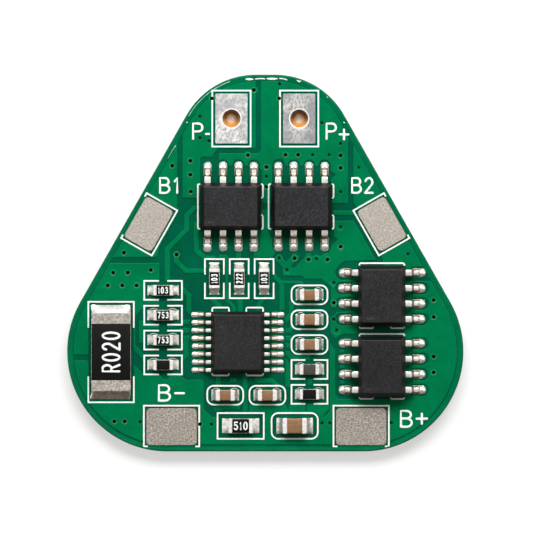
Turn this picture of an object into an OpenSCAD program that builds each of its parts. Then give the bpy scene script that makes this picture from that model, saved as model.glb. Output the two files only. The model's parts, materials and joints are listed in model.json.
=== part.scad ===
// Battery management board for a triangular pack of three round cells.
// A rounded triangular laminate carries masked copper, printed frames, two
// plated output terminals, four cell pads, four power transistors, one
// controller, one shunt resistor and a set of small chip parts.
// The origin is under the middle of the board. +Y points at the rounded apex
// with the output terminals, and +Z is the side that carries the parts.

/* [Board] */
// Width across the two lower corners
board_w = 32.5; // [31.5:0.1:40]
// Height from the lower edge to the top of the apex
board_h = 30.9; // [30.3:0.1:38]
// Thickness of the laminate
board_t = 1.2; // [0.8:0.1:1.6]
// Radius of the two lower corners
corner_r = 8.2; // [7:0.1:9]
// Radius of the two corners of the apex
apex_r = 6.5; // [5.5:0.1:7]
// Length of the short straight edge on top of the apex
apex_flat = 1.6; // [1.2:0.1:2.4]

/* [Copper and legend] */
// Height of the masked copper above the laminate
copper_t = 0.05; // [0.03:0.005:0.07]
// Bare margin between the copper and the board edge
copper_inset = 0.55; // [0.4:0.05:0.7]
// Width of the signal tracks
track_w = 0.36; // [0.2:0.02:0.4]
// Drilled diameter of the vias
via_d = 0.3; // [0.2:0.02:0.36]
// Diameter of the copper ring round each via
via_ring_d = 0.6; // [0.5:0.02:0.7]
// Width of the printed legend lines
legend_w = 0.13; // [0.12:0.01:0.22]
// Thickness of the printed legend
legend_t = 0.02; // [0.01:0.005:0.03]
// Clear space between a pad or land and its printed frame
frame_gap = 0.18; // [0.08:0.01:0.2]

/* [Terminals and cell pads] */
// Width of each plated output terminal
terminal_w = 2.65; // [2.3:0.05:2.8]
// Length of each plated output terminal
terminal_l = 4.1; // [3.6:0.05:4.3]
// Finished diameter of the plated hole in each output terminal
terminal_hole_d = 1.5; // [1:0.05:1.7]
// Thickness of the tinned barrel in each terminal hole
barrel_t = 0.16; // [0.14:0.01:0.25]
// Length of each lower cell pad
lower_pad_l = 4.15; // [3.6:0.05:4.4]
// Width of each lower cell pad
lower_pad_w = 3.05; // [2.6:0.05:3.2]
// Length of each side cell pad
side_pad_l = 3.85; // [3.4:0.05:4.1]
// Width of each side cell pad
side_pad_w = 2.6; // [2.2:0.05:2.7]
// Thickness of the tinned terminals and pads
pad_t = 0.08; // [0.06:0.01:0.12]
// Bare margin between a lower cell pad and the board edge
lower_pad_edge_gap = 0.5; // [0.4:0.02:0.6]
// Bare margin between a side cell pad and the board edge
side_pad_edge_gap = 0.42; // [0.36:0.02:0.6]

/* [Power transistors] */
// Length of the moulded body along its row of leads
mosfet_l = 5.0; // [4.8:0.05:5.1]
// Width of the moulded body across the leads
mosfet_w = 3.9; // [3.8:0.05:4]
// Height of the body above the lands
mosfet_h = 1.6; // [1.4:0.05:1.75]
// Distance between neighbouring leads
mosfet_pitch = 1.27; // [1.2:0.01:1.29]
// Width of a lead
mosfet_lead_w = 0.52; // [0.35:0.01:0.54]
// Thickness of a lead
mosfet_lead_t = 0.2; // [0.15:0.01:0.25]
// Distance between the tips of opposite leads
mosfet_span = 6.0; // [5.8:0.05:6.2]
// Space between the bodies of a pair
mosfet_gap = 0.8; // [0.7:0.05:1]

/* [Controller] */
// Length of the moulded body along its row of leads
controller_l = 5.05; // [4.9:0.05:5.1]
// Width of the moulded body across the leads
controller_w = 4.4; // [4.3:0.05:4.5]
// Height of the body above the lands
controller_h = 1.1; // [0.9:0.05:1.2]
// Distance between neighbouring leads
controller_pitch = 0.65; // [0.6:0.01:0.66]
// Width of a lead
controller_lead_w = 0.3; // [0.2:0.01:0.32]
// Thickness of a lead
controller_lead_t = 0.13; // [0.1:0.01:0.16]
// Distance between the tips of opposite leads
controller_span = 6.4; // [6.3:0.05:6.6]

/* [Chips] */
// Length of a small chip
small_l = 1.6; // [1.5:0.05:1.7]
// Width of a small chip
small_w = 0.86; // [0.7:0.02:0.9]
// Length of a large chip
large_l = 2.0; // [1.9:0.05:2.1]
// Width of a large chip
large_w = 1.22; // [1.1:0.02:1.3]
// Thickness of a resistor
resistor_t = 0.45; // [0.35:0.05:0.55]
// Thickness of a small capacitor
small_capacitor_t = 0.8; // [0.6:0.05:0.9]
// Thickness of the large capacitor
large_capacitor_t = 0.95; // [0.8:0.05:1.25]

/* [Shunt] */
// Length of the shunt resistor
shunt_l = 6.45; // [6.3:0.05:6.5]
// Width of the shunt resistor
shunt_w = 3.24; // [3.1:0.02:3.3]
// Thickness of the shunt resistor
shunt_t = 0.6; // [0.5:0.05:0.8]

/* [Hidden] */
// Facets of the rounded outlines and of small round corners
$fn = 48;
outline_facets = 160;
corner_facets = 24;
// One overrun serves every cut
overrun = 0.5;

// Levels above the underside of the board
land_z = board_t + copper_t;
legend_z = land_z + legend_t;

// Places on the board, as shares of its width and height from its middle
function at(share) = [share[0] * board_w, share[1] * board_h];

// Middles of pieces that stand in a line from low to high. Each gap takes its
// share of the free length, and the last gap takes what is left.
function sum_of(list, count) = count < 1 ? 0 : list[count - 1] + sum_of(list, count - 1);
function dealt(low, high, sizes, gap_shares) =
    let(free = high - low - sum_of(sizes, len(sizes)))
    [for (i = [0 : len(sizes) - 1]) low + free * sum_of(gap_shares, i + 1) + sum_of(sizes, i) + sizes[i] / 2];

// Edges of the board
lower_centre = [board_w / 2 - corner_r, corner_r - board_h / 2];
apex_centre = [apex_flat / 2, board_h / 2 - apex_r];
side_run = apex_centre - lower_centre;
// Slope of the right-hand edge, from the common tangent of its two corners
side_angle = atan2(side_run[1], side_run[0]) + asin((corner_r - apex_r) / norm(side_run));
side_out = [sin(side_angle), -cos(side_angle)];

// Output terminals
terminal_x_share = 0.0855;
terminal_corner_r = 0.08;
terminal_bevel = 0.12;
rear_ring_w = 0.5;

// Cell pads
lower_pad_x_shares = [-0.2366, 0.242];
pad_corner_r = 0.34;
// Pads printed next to the board edge have an open frame with short returns
pad_frame_gap = 0.13;
edge_frame_gap = 0.03;
edge_frame_return = 0.25;

// Brackets at the ends of the packages
bracket_r = 0.19;
bracket_inset = 0.05;

// Moulded packages
mosfet_standoff = 0.12;
mosfet_lead_z = 0.78;
mosfet_shoulder = 0.5;
mosfet_foot = 0.45;
mosfet_bend = 0.16;
mosfet_draft = [0.14, 0.32];
mosfet_leads_a_side = 4;
mosfet_land_w = 0.7;
mosfet_land_reach = 0.7;
mosfet_frame_beyond = [0.26, 0.2];
mosfet_frame_gaps = [0, 1.3];
mosfet_pair_x_share = 0.002;
controller_standoff = 0.1;
controller_lead_z = 0.5;
controller_shoulder = 0.4;
controller_foot = 0.4;
controller_bend = 0.1;
controller_draft = [0.12, 0.27];
controller_leads_a_side = 8;
controller_land_w = 0.42;
controller_land_reach = 0.62;
controller_frame_beyond = [0.39, 0.25];
controller_frame_gaps = [1.29, 1.29];
// Shallow dimple that marks the first lead of a package
dimple_r = 0.35;
dimple_depth = 0.03;
dimple_inset = 0.93;

// Chips and shunt
end_band = 0.27;
large_end_band = 0.32;
end_t = 0.04;
overcoat_t = 0.02;
overcoat_inset = 0.02;
small_land_reach = 0.43;
left_land_reach = 0.5;
top_land_reach = 0.56;
large_land_reach = 0.65;
land_side = 0.1;
large_land_side = 0.2;
resistor_edge_r = 0.03;
capacitor_edge_r = 0.09;
chip_frame_opening = 0.68;
capacitor_frame_r = 0.6;
top_row_x_shares = [-0.1285, -0.0658, -0.0030];
lower_row_x_shares = [-0.1012, 0.0053];
large_row_x_shares = [-0.0622, 0.0742];
shunt_y_share = -0.2364;
shunt_band = 0.92;
shunt_land_reach = 0.65;
shunt_land_side = 0;
shunt_frame_opening = 4.0;
small_resistor = [small_l, small_w, resistor_t, end_band, small_land_reach, land_side];
left_resistor = [small_l, small_w, resistor_t, end_band, left_land_reach, land_side];
top_resistor = [small_l, small_w, resistor_t, end_band, top_land_reach, land_side];
large_resistor = [large_l, large_w, resistor_t, large_end_band, large_land_reach, large_land_side];
small_capacitor = [small_l, small_w, small_capacitor_t, end_band, small_land_reach, land_side];
large_capacitor = [large_l, large_w, large_capacitor_t, large_end_band, large_land_reach, large_land_side];
shunt_chip = [shunt_l, shunt_w, shunt_t, shunt_band, shunt_land_reach, shunt_land_side];

// Solder: rise beside a foot, height at the outer end of a land, share of the
// end face that the fillet climbs
solder_side_h = 0.12;
solder_rim_h = 0.03;
solder_waist_share = 0.4;
solder_climb_share = 0.8;
solder_side_share = 0.4;
land_corner_r = 0.28;
land_clearance = 0.15;

// Room on the board that the pieces take up, with their lands and frames
frame_room = 2 * (frame_gap + legend_w);
small_room = [small_l + 2 * small_land_reach, small_w + 2 * land_side] + frame_room * [1, 1];
left_room_l = small_l + 2 * left_land_reach + frame_room;
top_room_l = small_l + 2 * top_land_reach + frame_room;
large_room_w = large_w + 2 * large_land_side + frame_room;
shunt_room_w = shunt_w + 2 * shunt_land_side + frame_room;
controller_room = [controller_span + 2 * controller_land_reach, controller_l + 2 * controller_frame_beyond[0]];
mosfet_room_w = mosfet_span + 2 * mosfet_land_reach;
terminal_room_l = terminal_l + frame_room;

// Columns across the board: shunt, left chips, controller, right chips and the
// stacked transistors
column_x = dealt(-board_w / 2, board_w / 2,
    [shunt_room_w, left_room_l, controller_room[0], small_room[0], mosfet_room_w],
    [0.2285, 0.0996, 0.0940, 0.0729, 0.0960]);

// Rows up the board: large chips, lower chips, controller, upper chips, the
// pair of transistors and the terminals
row_y = dealt(-board_h / 2, board_h / 2,
    [large_room_w, small_room[1], controller_room[1], top_room_l, mosfet_room_w, terminal_room_l],
    [0.1698, 0.0975, 0.1030, 0.1127, 0.0961, 0.2030]);

// The chips of the right column stand between the large chips and the pair
right_chip_y = dealt(row_y[0] + large_room_w / 2, row_y[4] - mosfet_room_w / 2,
    [for (i = [0 : 4]) small_room[1]], [0.1324, 0.0753, 0.0754, 0.0753, 0.0753]);

// The stacked transistors stand above a lower pad, and a side pad above them
mosfet_step = mosfet_l + mosfet_gap;
pad_room = pad_frame_gap + legend_w;
side_pad_room_l = side_pad_l * side_out[0] + side_pad_w * side_out[1] + 2 * pad_room;
lower_pad_top = lower_pad_edge_gap + lower_pad_w + pad_room - board_h / 2;
right_edge_y = dealt(lower_pad_top, board_h / 2, [mosfet_step + mosfet_l, side_pad_room_l], [0.0567, 0.0746]);
stack_y = right_edge_y[0];
side_pad_y = right_edge_y[1];

// The chips of the left column stand between the other two pads
left_chip_y = dealt(lower_pad_top, side_pad_y - side_pad_room_l / 2,
    [for (i = [0 : 3]) small_room[1]], [0.4403, 0.0649, 0.0649, 0.0649]);

// Each chip is its place, its turn and its sizes
resistors = concat(
    [for (i = [3 : -1 : 0]) [[column_x[1], left_chip_y[i]], 0, left_resistor]],
    [for (share = top_row_x_shares) [[share * board_w, row_y[3]], 90, top_resistor]],
    [[[column_x[3], right_chip_y[0]], 0, small_resistor]],
    [[[large_row_x_shares[0] * board_w, row_y[0]], 0, large_resistor]]
);
grey_chip = [[column_x[3], right_chip_y[1]], 0, small_resistor];
capacitors = concat(
    [for (i = [4 : -1 : 2]) [[column_x[3], right_chip_y[i]], 0, small_capacitor]],
    [for (share = lower_row_x_shares) [[share * board_w, row_y[1]], 0, small_capacitor]],
    [[[large_row_x_shares[1] * board_w, row_y[0]], 0, large_capacitor]]
);
shunt = [[column_x[0], shunt_y_share * board_h], 90, shunt_chip];

// Each package is its place, its turn and the corner of its dimple. The four
// transistors are a pair below the terminals and a stack at the right-hand edge.
pair_x = mosfet_pair_x_share * board_w;
mosfets = [
    [[pair_x - mosfet_step / 2, row_y[4]], 90, [-1, 1]],
    [[pair_x + mosfet_step / 2, row_y[4]], 90, [-1, 1]],
    [[column_x[4], stack_y + mosfet_step / 2], 0, [-1, -1]],
    [[column_x[4], stack_y - mosfet_step / 2], 0, [-1, -1]]
];
controller = [[column_x[2], row_y[2]], 0, [-1, 1]];

// Copper areas: outlines as shares of the width and height of the board
minus_area_shares = [
    [-0.208, 0.5], [-0.208, 0.173], [-0.165, 0.173], [-0.165, 0.275],
    [-0.160, 0.282], [-0.137, 0.282], [-0.119, 0.305], [-0.025, 0.305], [-0.025, 0.5]
];
plus_area_shares = [
    [-0.010, 0.5], [-0.010, 0.300], [-0.018, 0.291], [-0.117, 0.291], [-0.117, 0.258],
    [-0.018, 0.258], [-0.008, 0.244], [-0.008, 0.159], [0.208, 0.159], [0.208, 0.5]
];
// Bare field round the upper leads of the second transistor
lead_field_shares = [
    [0.017, 0.258], [0.030, 0.276], [0.045, 0.276], [0.052, 0.258], [0.166, 0.258],
    [0.166, 0.244], [0.178, 0.234], [0.166, 0.221], [0.166, 0.205], [0.017, 0.205]
];
first_cell_area_shares = [
    [-0.223, 0.36], [-0.223, 0.151], [-0.217, 0.140], [-0.268, 0.043],
    [-0.273, 0.019], [-0.280, 0.015], [-0.5, 0.015], [-0.5, 0.36]
];
second_cell_area_shares = [
    [0.223, 0.36], [0.223, 0.159], [0.234, 0.146], [0.292, 0.019],
    [0.297, 0.011], [0.297, -0.038], [0.5, -0.038], [0.5, 0.36]
];
middle_area_shares = [
    [0.173, 0.112], [0.223, 0.112], [0.279, 0.008], [0.201, 0.005], [0.184, -0.008],
    [0.178, -0.021], [0.178, -0.037], [0.189, -0.045], [0.232, -0.045], [0.232, -0.090],
    [0.201, -0.090], [0.189, -0.119], [0.166, -0.119], [0.166, -0.064], [0.143, -0.042],
    [0.100, -0.042], [0.093, -0.034], [0.045, -0.034], [0.045, -0.013], [0.027, 0.008],
    [0.027, 0.016], [0.040, 0.016], [0.052, 0.001], [0.067, 0.019], [0.088, 0.019],
    [0.065, -0.008], [0.067, -0.013], [0.075, -0.013], [0.103, 0.019], [0.141, 0.019],
    [0.161, 0.027], [0.171, 0.051], [0.184, 0.061], [0.173, 0.072]
];
bridge_area_shares = [
    [-0.008, 0.141], [0.007, 0.141], [0.007, 0.085], [0.014, 0.067], [0.027, 0.053],
    [0.030, 0.035], [0.017, 0.015], [-0.029, 0.015], [-0.031, 0.035], [-0.021, 0.051],
    [-0.016, 0.067], [-0.008, 0.085]
];
shunt_area_shares = [
    [-0.5, 0], [-0.268, 0], [-0.268, -0.109], [-0.309, -0.109], [-0.309, -0.119],
    [-0.329, -0.141], [-0.329, -0.231], [-0.339, -0.243], [-0.5, -0.243]
];
lower_area_shares = [
    [-0.5, -0.259], [-0.344, -0.259], [-0.306, -0.297], [-0.268, -0.297], [-0.258, -0.309],
    [-0.246, -0.309], [-0.238, -0.300], [-0.213, -0.300], [-0.200, -0.310], [-0.160, -0.310],
    [-0.156, -0.316], [-0.156, -0.388], [-0.135, -0.409], [-0.064, -0.409], [-0.039, -0.393],
    [-0.039, -0.372], [0.050, -0.374], [0.058, -0.393], [0.062, -0.374], [0.101, -0.374],
    [0.101, -0.393], [0.105, -0.393], [0.105, -0.372], [0.161, -0.372], [0.161, -0.388],
    [0.147, -0.403], [0.147, -0.5], [-0.5, -0.5]
];
right_area_shares = [
    [0.350, -0.048], [0.5, -0.048], [0.5, -0.5], [0.147, -0.5], [0.147, -0.411],
    [0.163, -0.394], [0.163, -0.212], [0.176, -0.231], [0.176, -0.348], [0.184, -0.361],
    [0.350, -0.361]
];
gate_area_shares = [
    [0.165, -0.151], [0.181, -0.131], [0.232, -0.127], [0.232, -0.188],
    [0.196, -0.188], [0.184, -0.196], [0.176, -0.200], [0.165, -0.186]
];
area_shares = [
    minus_area_shares, first_cell_area_shares, second_cell_area_shares, middle_area_shares,
    bridge_area_shares, shunt_area_shares, lower_area_shares, right_area_shares, gate_area_shares
];

// Signal tracks, in the same shares
track_shares = [
    [[-0.160, 0.146], [-0.179, 0.146], [-0.198, 0.126], [-0.198, 0.089], [-0.247, 0.037], [-0.247, -0.053]],
    [[-0.162, 0.114], [-0.174, 0.104], [-0.174, 0.032], [-0.152, 0.013], [-0.127, 0.013]],
    [[-0.224, 0.022], [-0.224, 0.003], [-0.200, -0.021], [-0.150, -0.021]],
    [[-0.225, -0.068], [-0.210, -0.068], [-0.193, -0.086], [-0.193, -0.126], [-0.183, -0.137]],
    [[-0.215, -0.157], [-0.185, -0.157]],
    [[-0.215, -0.179], [-0.185, -0.179]],
    [[-0.185, -0.199], [-0.200, -0.199], [-0.200, -0.244], [-0.210, -0.255]],
    [[-0.313, -0.153], [-0.313, -0.212]],
    [[-0.334, -0.220], [-0.301, -0.257]],
    [[-0.137, -0.093], [-0.112, -0.119]],
    [[-0.065, -0.093], [-0.063, -0.109], [-0.063, -0.130]],
    [[-0.006, -0.093], [-0.016, -0.111], [-0.020, -0.127]],
    [[-0.068, 0.035], [-0.068, 0.013]],
    [[0.017, -0.029], [0.042, -0.056], [0.042, -0.129]],
    [[0.066, -0.103], [0.066, -0.135], [0.051, -0.154], [0.042, -0.159]],
    [[0.042, -0.180], [0.060, -0.180], [0.070, -0.170]],
    [[0.042, -0.200], [0.067, -0.200]],
    [[0.042, -0.220], [0.062, -0.220]],
    [[0.042, -0.240], [0.057, -0.240], [0.070, -0.252], [0.113, -0.252]],
    [[0.042, -0.261], [0.050, -0.261], [0.057, -0.271], [0.057, -0.329]],
    [[-0.119, -0.295], [-0.119, -0.326]],
    [[-0.051, -0.295], [-0.051, -0.401]],
    [[-0.023, -0.305], [-0.016, -0.313], [0.017, -0.313], [0.030, -0.326]],
    [[-0.129, -0.390], [-0.104, -0.382], [-0.064, -0.382]],
    [[-0.089, -0.311], [-0.074, -0.311]],
    [[0.113, -0.305], [0.113, -0.326]],
    [[0.171, 0.133], [0.230, 0.133]],
    [[0.073, 0.037], [0.074, 0.012]],
    [[0.110, 0.037], [0.109, 0.009]],
    [[0.150, 0.037], [0.157, 0.009]],
    [[0.194, -0.212], [0.194, -0.337]]
];
// Thin tracks, narrower by this share
thin_track_share = 0.6;
thin_track_shares = [
    [[-0.117, 0.018], [-0.100, 0.018], [-0.097, 0.012], [-0.097, -0.098], [-0.079, -0.117], [-0.079, -0.130]],
    [[0.042, -0.051], [0.090, -0.051], [0.095, -0.056]],
    [[-0.314, -0.170], [-0.270, -0.170]],
    [[-0.246, -0.170], [-0.213, -0.165]]
];

// Vias, in the same shares
via_shares = [
    [-0.029, 0.459], [-0.135, 0.437], [-0.165, 0.389], [-0.165, 0.332], [-0.142, 0.324],
    [-0.235, 0.258], [-0.189, 0.271], [-0.189, 0.234], [-0.188, 0.189], [-0.044, 0.286],
    [0.003, 0.254], [0.003, 0.230], [0.003, 0.202], [0.035, 0.437], [0.036, 0.475],
    [0.143, 0.372], [0.190, 0.317], [0.051, 0.287], [0.083, 0.287], [0.120, 0.287],
    [0.161, 0.287], [0.190, 0.285], [0.190, 0.252], [0.236, 0.254], [0.190, 0.189],
    [0.190, 0.096], [0.190, 0.043], [0.035, 0.013], [0.074, 0.012], [0.109, 0.009],
    [0.129, 0.011], [0.157, 0.009], [0.055, -0.018], [-0.357, 0.027], [-0.224, 0.022],
    [-0.384, -0.026], [-0.347, -0.026], [-0.289, -0.019], [-0.398, -0.060], [-0.361, -0.060],
    [-0.325, -0.060], [0.360, 0.024], [0.425, -0.099], [0.425, -0.144], [0.425, -0.249],
    [0.425, -0.291], [0.173, -0.052], [0.173, -0.106], [0.173, -0.150], [0.180, -0.178],
    [-0.381, -0.421], [-0.355, -0.421], [-0.165, -0.428], [-0.136, -0.428], [-0.316, -0.422],
    [0.143, -0.425], [0.163, -0.425], [0.318, -0.424]
];

// Line of one width along a path: both sides of the path, mitred at its corners
function unit(v) = v / norm(v);
function turned(v) = [-v[1], v[0]];
function mitre(u, v) = let(m = unit(turned(u) + turned(v))) m / (m * turned(u));
function side(path, off) = [
    for (i = [0 : len(path) - 1])
        let(
            last = len(path) - 1,
            u = unit(path[max(i, 1)] - path[max(i, 1) - 1]),
            v = unit(path[min(i, last - 1) + 1] - path[min(i, last - 1)])
        )
        path[i] + off * mitre(u, v)
];
function backwards(list) = [for (i = [len(list) - 1 : -1 : 0]) list[i]];
function ribbon(path, width) = concat(side(path, width / 2), backwards(side(path, -width / 2)));

// Path with each inner corner rounded over a stretch on both sides of it
bend_steps = 4;
function bend(a, b, c, reach) =
    let(p = b + reach * unit(a - b), q = b + reach * unit(c - b))
    [for (i = [0 : bend_steps]) let(t = i / bend_steps) (1 - t) ^ 2 * p + 2 * t * (1 - t) * b + t ^ 2 * q];
function bent(path, reach) = [
    path[0],
    for (i = [1 : len(path) - 2]) each bend(path[i - 1], path[i], path[i + 1], reach),
    path[len(path) - 1]
];

module field(shares) {
    polygon([for (share = shares) at(share)]);
}

module track(shares, width) {
    polygon(ribbon([for (share = shares) at(share)], width));
}

// Rectangle about the middle with rounded corners
module rounded(size, r) {
    offset(r = r, $fn = corner_facets)
        square([size[0] - 2 * r, size[1] - 2 * r], center = true);
}

// Solid between two levels
module between(z0, z1) {
    translate([0, 0, z0])
        linear_extrude(z1 - z0)
            children();
}

// Puts its children at the place and turn of a part
module placed(part) {
    translate(part[0])
        rotate(part[1])
            children();
}

// Outline of the board, moved inwards
module outline(inset) {
    hull()
        for (way = [-1, 1]) {
            translate([way * lower_centre[0], lower_centre[1]])
                circle(corner_r - inset, $fn = outline_facets);
            translate([way * apex_centre[0], apex_centre[1]])
                circle(apex_r - inset, $fn = outline_facets);
        }
}

// Places of the terminals and pads
module at_terminal(way) {
    translate([way * terminal_x_share * board_w, row_y[5]])
        children();
}

module at_lower_pad(way) {
    translate([lower_pad_x_shares[way < 0 ? 0 : 1] * board_w, lower_pad_edge_gap + lower_pad_w / 2 - board_h / 2])
        children();
}

// The side pads lie along the sloping edges, with their open side outwards
edge_point = lower_centre + corner_r * side_out;
edge_x = edge_point[0] + (side_pad_y - edge_point[1]) / tan(side_angle);
side_pad_x = edge_x - (side_pad_edge_gap + side_pad_w / 2) / sin(side_angle);
module at_side_pad(way) {
    mirror([way < 0 ? 1 : 0, 0, 0])
        translate([side_pad_x, side_pad_y])
            rotate(side_angle)
                children();
}

// Printed frames

// Closed frame round a land or pad, with an opening in both long sides
module frame(size, opening, r) {
    outer = size + 2 * (frame_gap + legend_w) * [1, 1];
    inner = size + 2 * frame_gap * [1, 1];
    difference() {
        if (r > 0)
            rounded(outer, r);
        else
            square(outer, center = true);
        if (r > 0)
            rounded(inner, r - legend_w);
        else
            square(inner, center = true);
        if (opening > 0)
            square([opening, outer[1] + overrun], center = true);
    }
}

// Space inside a frame, where the copper stops under the middle of the line
window_gap = frame_gap + legend_w / 2;
module frame_window(size) {
    square(size + 2 * window_gap * [1, 1], center = true);
}

// Frame of a pad at the board edge: the side at -Y is open but for two returns
module edge_frame(size) {
    inner_x = size[0] / 2 + pad_frame_gap;
    top = size[1] / 2 + pad_frame_gap;
    low = -size[1] / 2 - edge_frame_gap;
    difference() {
        translate([-inner_x - legend_w, low - legend_w])
            square([2 * (inner_x + legend_w), top - low + 2 * legend_w]);
        translate([-inner_x, low])
            square([2 * inner_x, top - low]);
        translate([-inner_x + edge_frame_return, low - overrun])
            square([2 * (inner_x - edge_frame_return), top - low]);
    }
}

module edge_window(size) {
    high = pad_frame_gap + legend_w / 2;
    low = edge_frame_gap + legend_w / 2;
    translate([0, (high - low) / 2])
        square([size[0] + 2 * high, size[1] + high + low], center = true);
}

// Bracket from x0 to x1 whose two legs run back to y = 0
module bracket(x0, x1, reach) {
    difference() {
        translate([(x0 + x1) / 2, 0])
            rounded([x1 - x0, 2 * reach], bracket_r);
        translate([x0 + legend_w, -reach])
            square([x1 - x0 - 2 * legend_w, 2 * reach - legend_w]);
        translate([x0 - overrun, -reach - overrun])
            square([x1 - x0 + 2 * overrun, reach + overrun]);
    }
}

// Brackets at the two ends of a moulded body, one or two at each end
module package_frame(size, beyond, gaps) {
    half = size[0] / 2 - bracket_inset;
    for (end = [0, 1])
        mirror([0, end, 0])
            translate([0, size[1] / 2])
                if (gaps[end] > 0) {
                    bracket(-half, -gaps[end] / 2, beyond[end]);
                    bracket(gaps[end] / 2, half, beyond[end]);
                }
                else
                    bracket(-half, half, beyond[end]);
}

module chip_frame(part, opening, r) {
    size = part[2];
    placed(part)
        frame([size[0] + 2 * size[4], size[1] + 2 * size[5]], opening, r);
}

module chip_window(part) {
    size = part[2];
    placed(part)
        frame_window([size[0] + 2 * size[4], size[1] + 2 * size[5]]);
}

// Land of a lead, round at its outer end
module round_land(inner, outer, width, margin) {
    r = width / 2 + margin;
    translate([inner - margin, -r])
        square([outer - inner - width / 2 + margin, 2 * r]);
    translate([outer - width / 2, 0])
        circle(r);
}

module each_lead(count, pitch) {
    for (way = [0, 180], i = [0 : count - 1])
        rotate(way)
            translate([0, (i - (count - 1) / 2) * pitch])
                children();
}

module mosfet_lands(margin) {
    for (part = mosfets)
        placed(part)
            each_lead(mosfet_leads_a_side, mosfet_pitch)
                round_land(mosfet_span / 2 - mosfet_foot, mosfet_span / 2 + mosfet_land_reach, mosfet_land_w, margin);
}

module controller_lands(margin) {
    placed(controller)
        each_lead(controller_leads_a_side, controller_pitch)
            round_land(controller_span / 2 - controller_foot, controller_span / 2 + controller_land_reach,
                controller_land_w, margin);
}

// Vias and drilled holes
module vias(d) {
    for (share = via_shares)
        translate(at(share))
            circle(d = d, $fn = corner_facets);
}

module circuit_board() {
    color("darkgreen")
        difference() {
            between(0, board_t)
                difference() {
                    outline(0);
                    vias(via_d);
                }
            for (way = [-1, 1])
                at_terminal(way) {
                    translate([0, 0, -overrun])
                        cylinder(h = board_t + 2 * overrun, d = terminal_hole_d + 2 * barrel_t);
                    translate([0, 0, -overrun])
                        cylinder(h = overrun + pad_t, d = terminal_hole_d + 2 * rear_ring_w);
                }
        }
}

// Plan of the raised copper: areas, tracks and rings less every window
module copper_plan() {
    difference() {
        intersection() {
            outline(copper_inset);
            union() {
                for (shares = area_shares)
                    field(shares);
                difference() {
                    field(plus_area_shares);
                    field(lead_field_shares);
                }
                for (shares = track_shares)
                    track(shares, track_w);
                for (shares = thin_track_shares)
                    track(shares, thin_track_share * track_w);
                vias(via_ring_d);
            }
        }
        vias(via_d);
        for (way = [-1, 1]) {
            at_terminal(way)
                frame_window([terminal_w, terminal_l]);
            at_lower_pad(way)
                edge_window([lower_pad_l, lower_pad_w]);
            at_side_pad(way)
                edge_window([side_pad_l, side_pad_w]);
        }
        mosfet_lands(land_clearance);
        controller_lands(land_clearance);
        for (part = concat(resistors, capacitors, [grey_chip, shunt]))
            chip_window(part);
    }
}

module copper_tracks() {
    color("seagreen")
        between(board_t, land_z)
            copper_plan();
}

module legend_plan() {
    for (way = [-1, 1]) {
        at_terminal(way)
            frame([terminal_w, terminal_l], 0, 0);
        at_lower_pad(way)
            edge_frame([lower_pad_l, lower_pad_w]);
        at_side_pad(way)
            edge_frame([side_pad_l, side_pad_w]);
    }
    for (part = mosfets)
        placed(part)
            package_frame([mosfet_w, mosfet_l], mosfet_frame_beyond, mosfet_frame_gaps);
    placed(controller)
        package_frame([controller_w, controller_l], controller_frame_beyond, controller_frame_gaps);
    for (i = [0 : 7])
        chip_frame(resistors[i], chip_frame_opening, 0);
    chip_frame(resistors[8], 0, 0);
    chip_frame(grey_chip, chip_frame_opening, 0);
    chip_frame(shunt, shunt_frame_opening, 0);
    for (part = capacitors)
        chip_frame(part, 0, capacitor_frame_r);
}

// The legend lies on the copper where there is any, and on the laminate elsewhere
module silkscreen_frames() {
    color("white")
        difference() {
            between(board_t, legend_z)
                difference() {
                    intersection() {
                        legend_plan();
                        outline(legend_w);
                    }
                    vias(via_d);
                }
            between(board_t - overrun, land_z)
                copper_plan();
        }
}

// Tinned terminal with its plated hole, bevelled mouth and ring on the underside
module terminal(way) {
    color("silver")
        at_terminal(way)
            difference() {
                union() {
                    between(board_t, board_t + pad_t)
                        rounded([terminal_w, terminal_l], terminal_corner_r);
                    cylinder(h = board_t + pad_t / 2, d = terminal_hole_d + 2 * barrel_t);
                    cylinder(h = pad_t, d = terminal_hole_d + 2 * rear_ring_w);
                }
                translate([0, 0, -overrun])
                    cylinder(h = board_t + pad_t + 2 * overrun, d = terminal_hole_d);
                translate([0, 0, board_t + pad_t - terminal_bevel])
                    cylinder(h = 2 * terminal_bevel, d1 = terminal_hole_d, d2 = terminal_hole_d + 4 * terminal_bevel);
            }
}

module lower_pad(way) {
    color("tan")
        at_lower_pad(way)
            between(board_t, board_t + pad_t)
                rounded([lower_pad_l, lower_pad_w], pad_corner_r);
}

module side_pad(way) {
    color("tan")
        at_side_pad(way)
            between(board_t, board_t + pad_t)
                rounded([side_pad_l, side_pad_w], pad_corner_r);
}

// Side view of a moulded body: draft below and above an upright band as thick
// as a lead, so that the leads meet a flat wall
module body_side(width, bottom, band, top, draft) {
    half = width / 2;
    polygon([
        [draft[0] - half, bottom], [half - draft[0], bottom], [half, band[0]], [half, band[1]],
        [half - draft[1], top], [draft[1] - half, top], [-half, band[1]], [-half, band[0]]
    ]);
}

// Body with a dimple near one of its corners
module moulded_body(size, standoff, lead_z, lead_t, draft, corner) {
    band = [lead_z - lead_t / 2, lead_z + lead_t / 2];
    translate([0, 0, land_z])
        difference() {
            intersection() {
                rotate([90, 0, 0])
                    linear_extrude(size[1] + overrun, center = true)
                        body_side(size[0], standoff, band, size[2], draft);
                rotate([90, 0, 90])
                    linear_extrude(size[0] + overrun, center = true)
                        body_side(size[1], standoff, band, size[2], draft);
            }
            translate([
                corner[0] * (size[0] / 2 - dimple_inset),
                corner[1] * (size[1] / 2 - dimple_inset),
                size[2] - dimple_depth
            ])
                cylinder(h = dimple_depth + overrun, r = dimple_r);
        }
}

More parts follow.
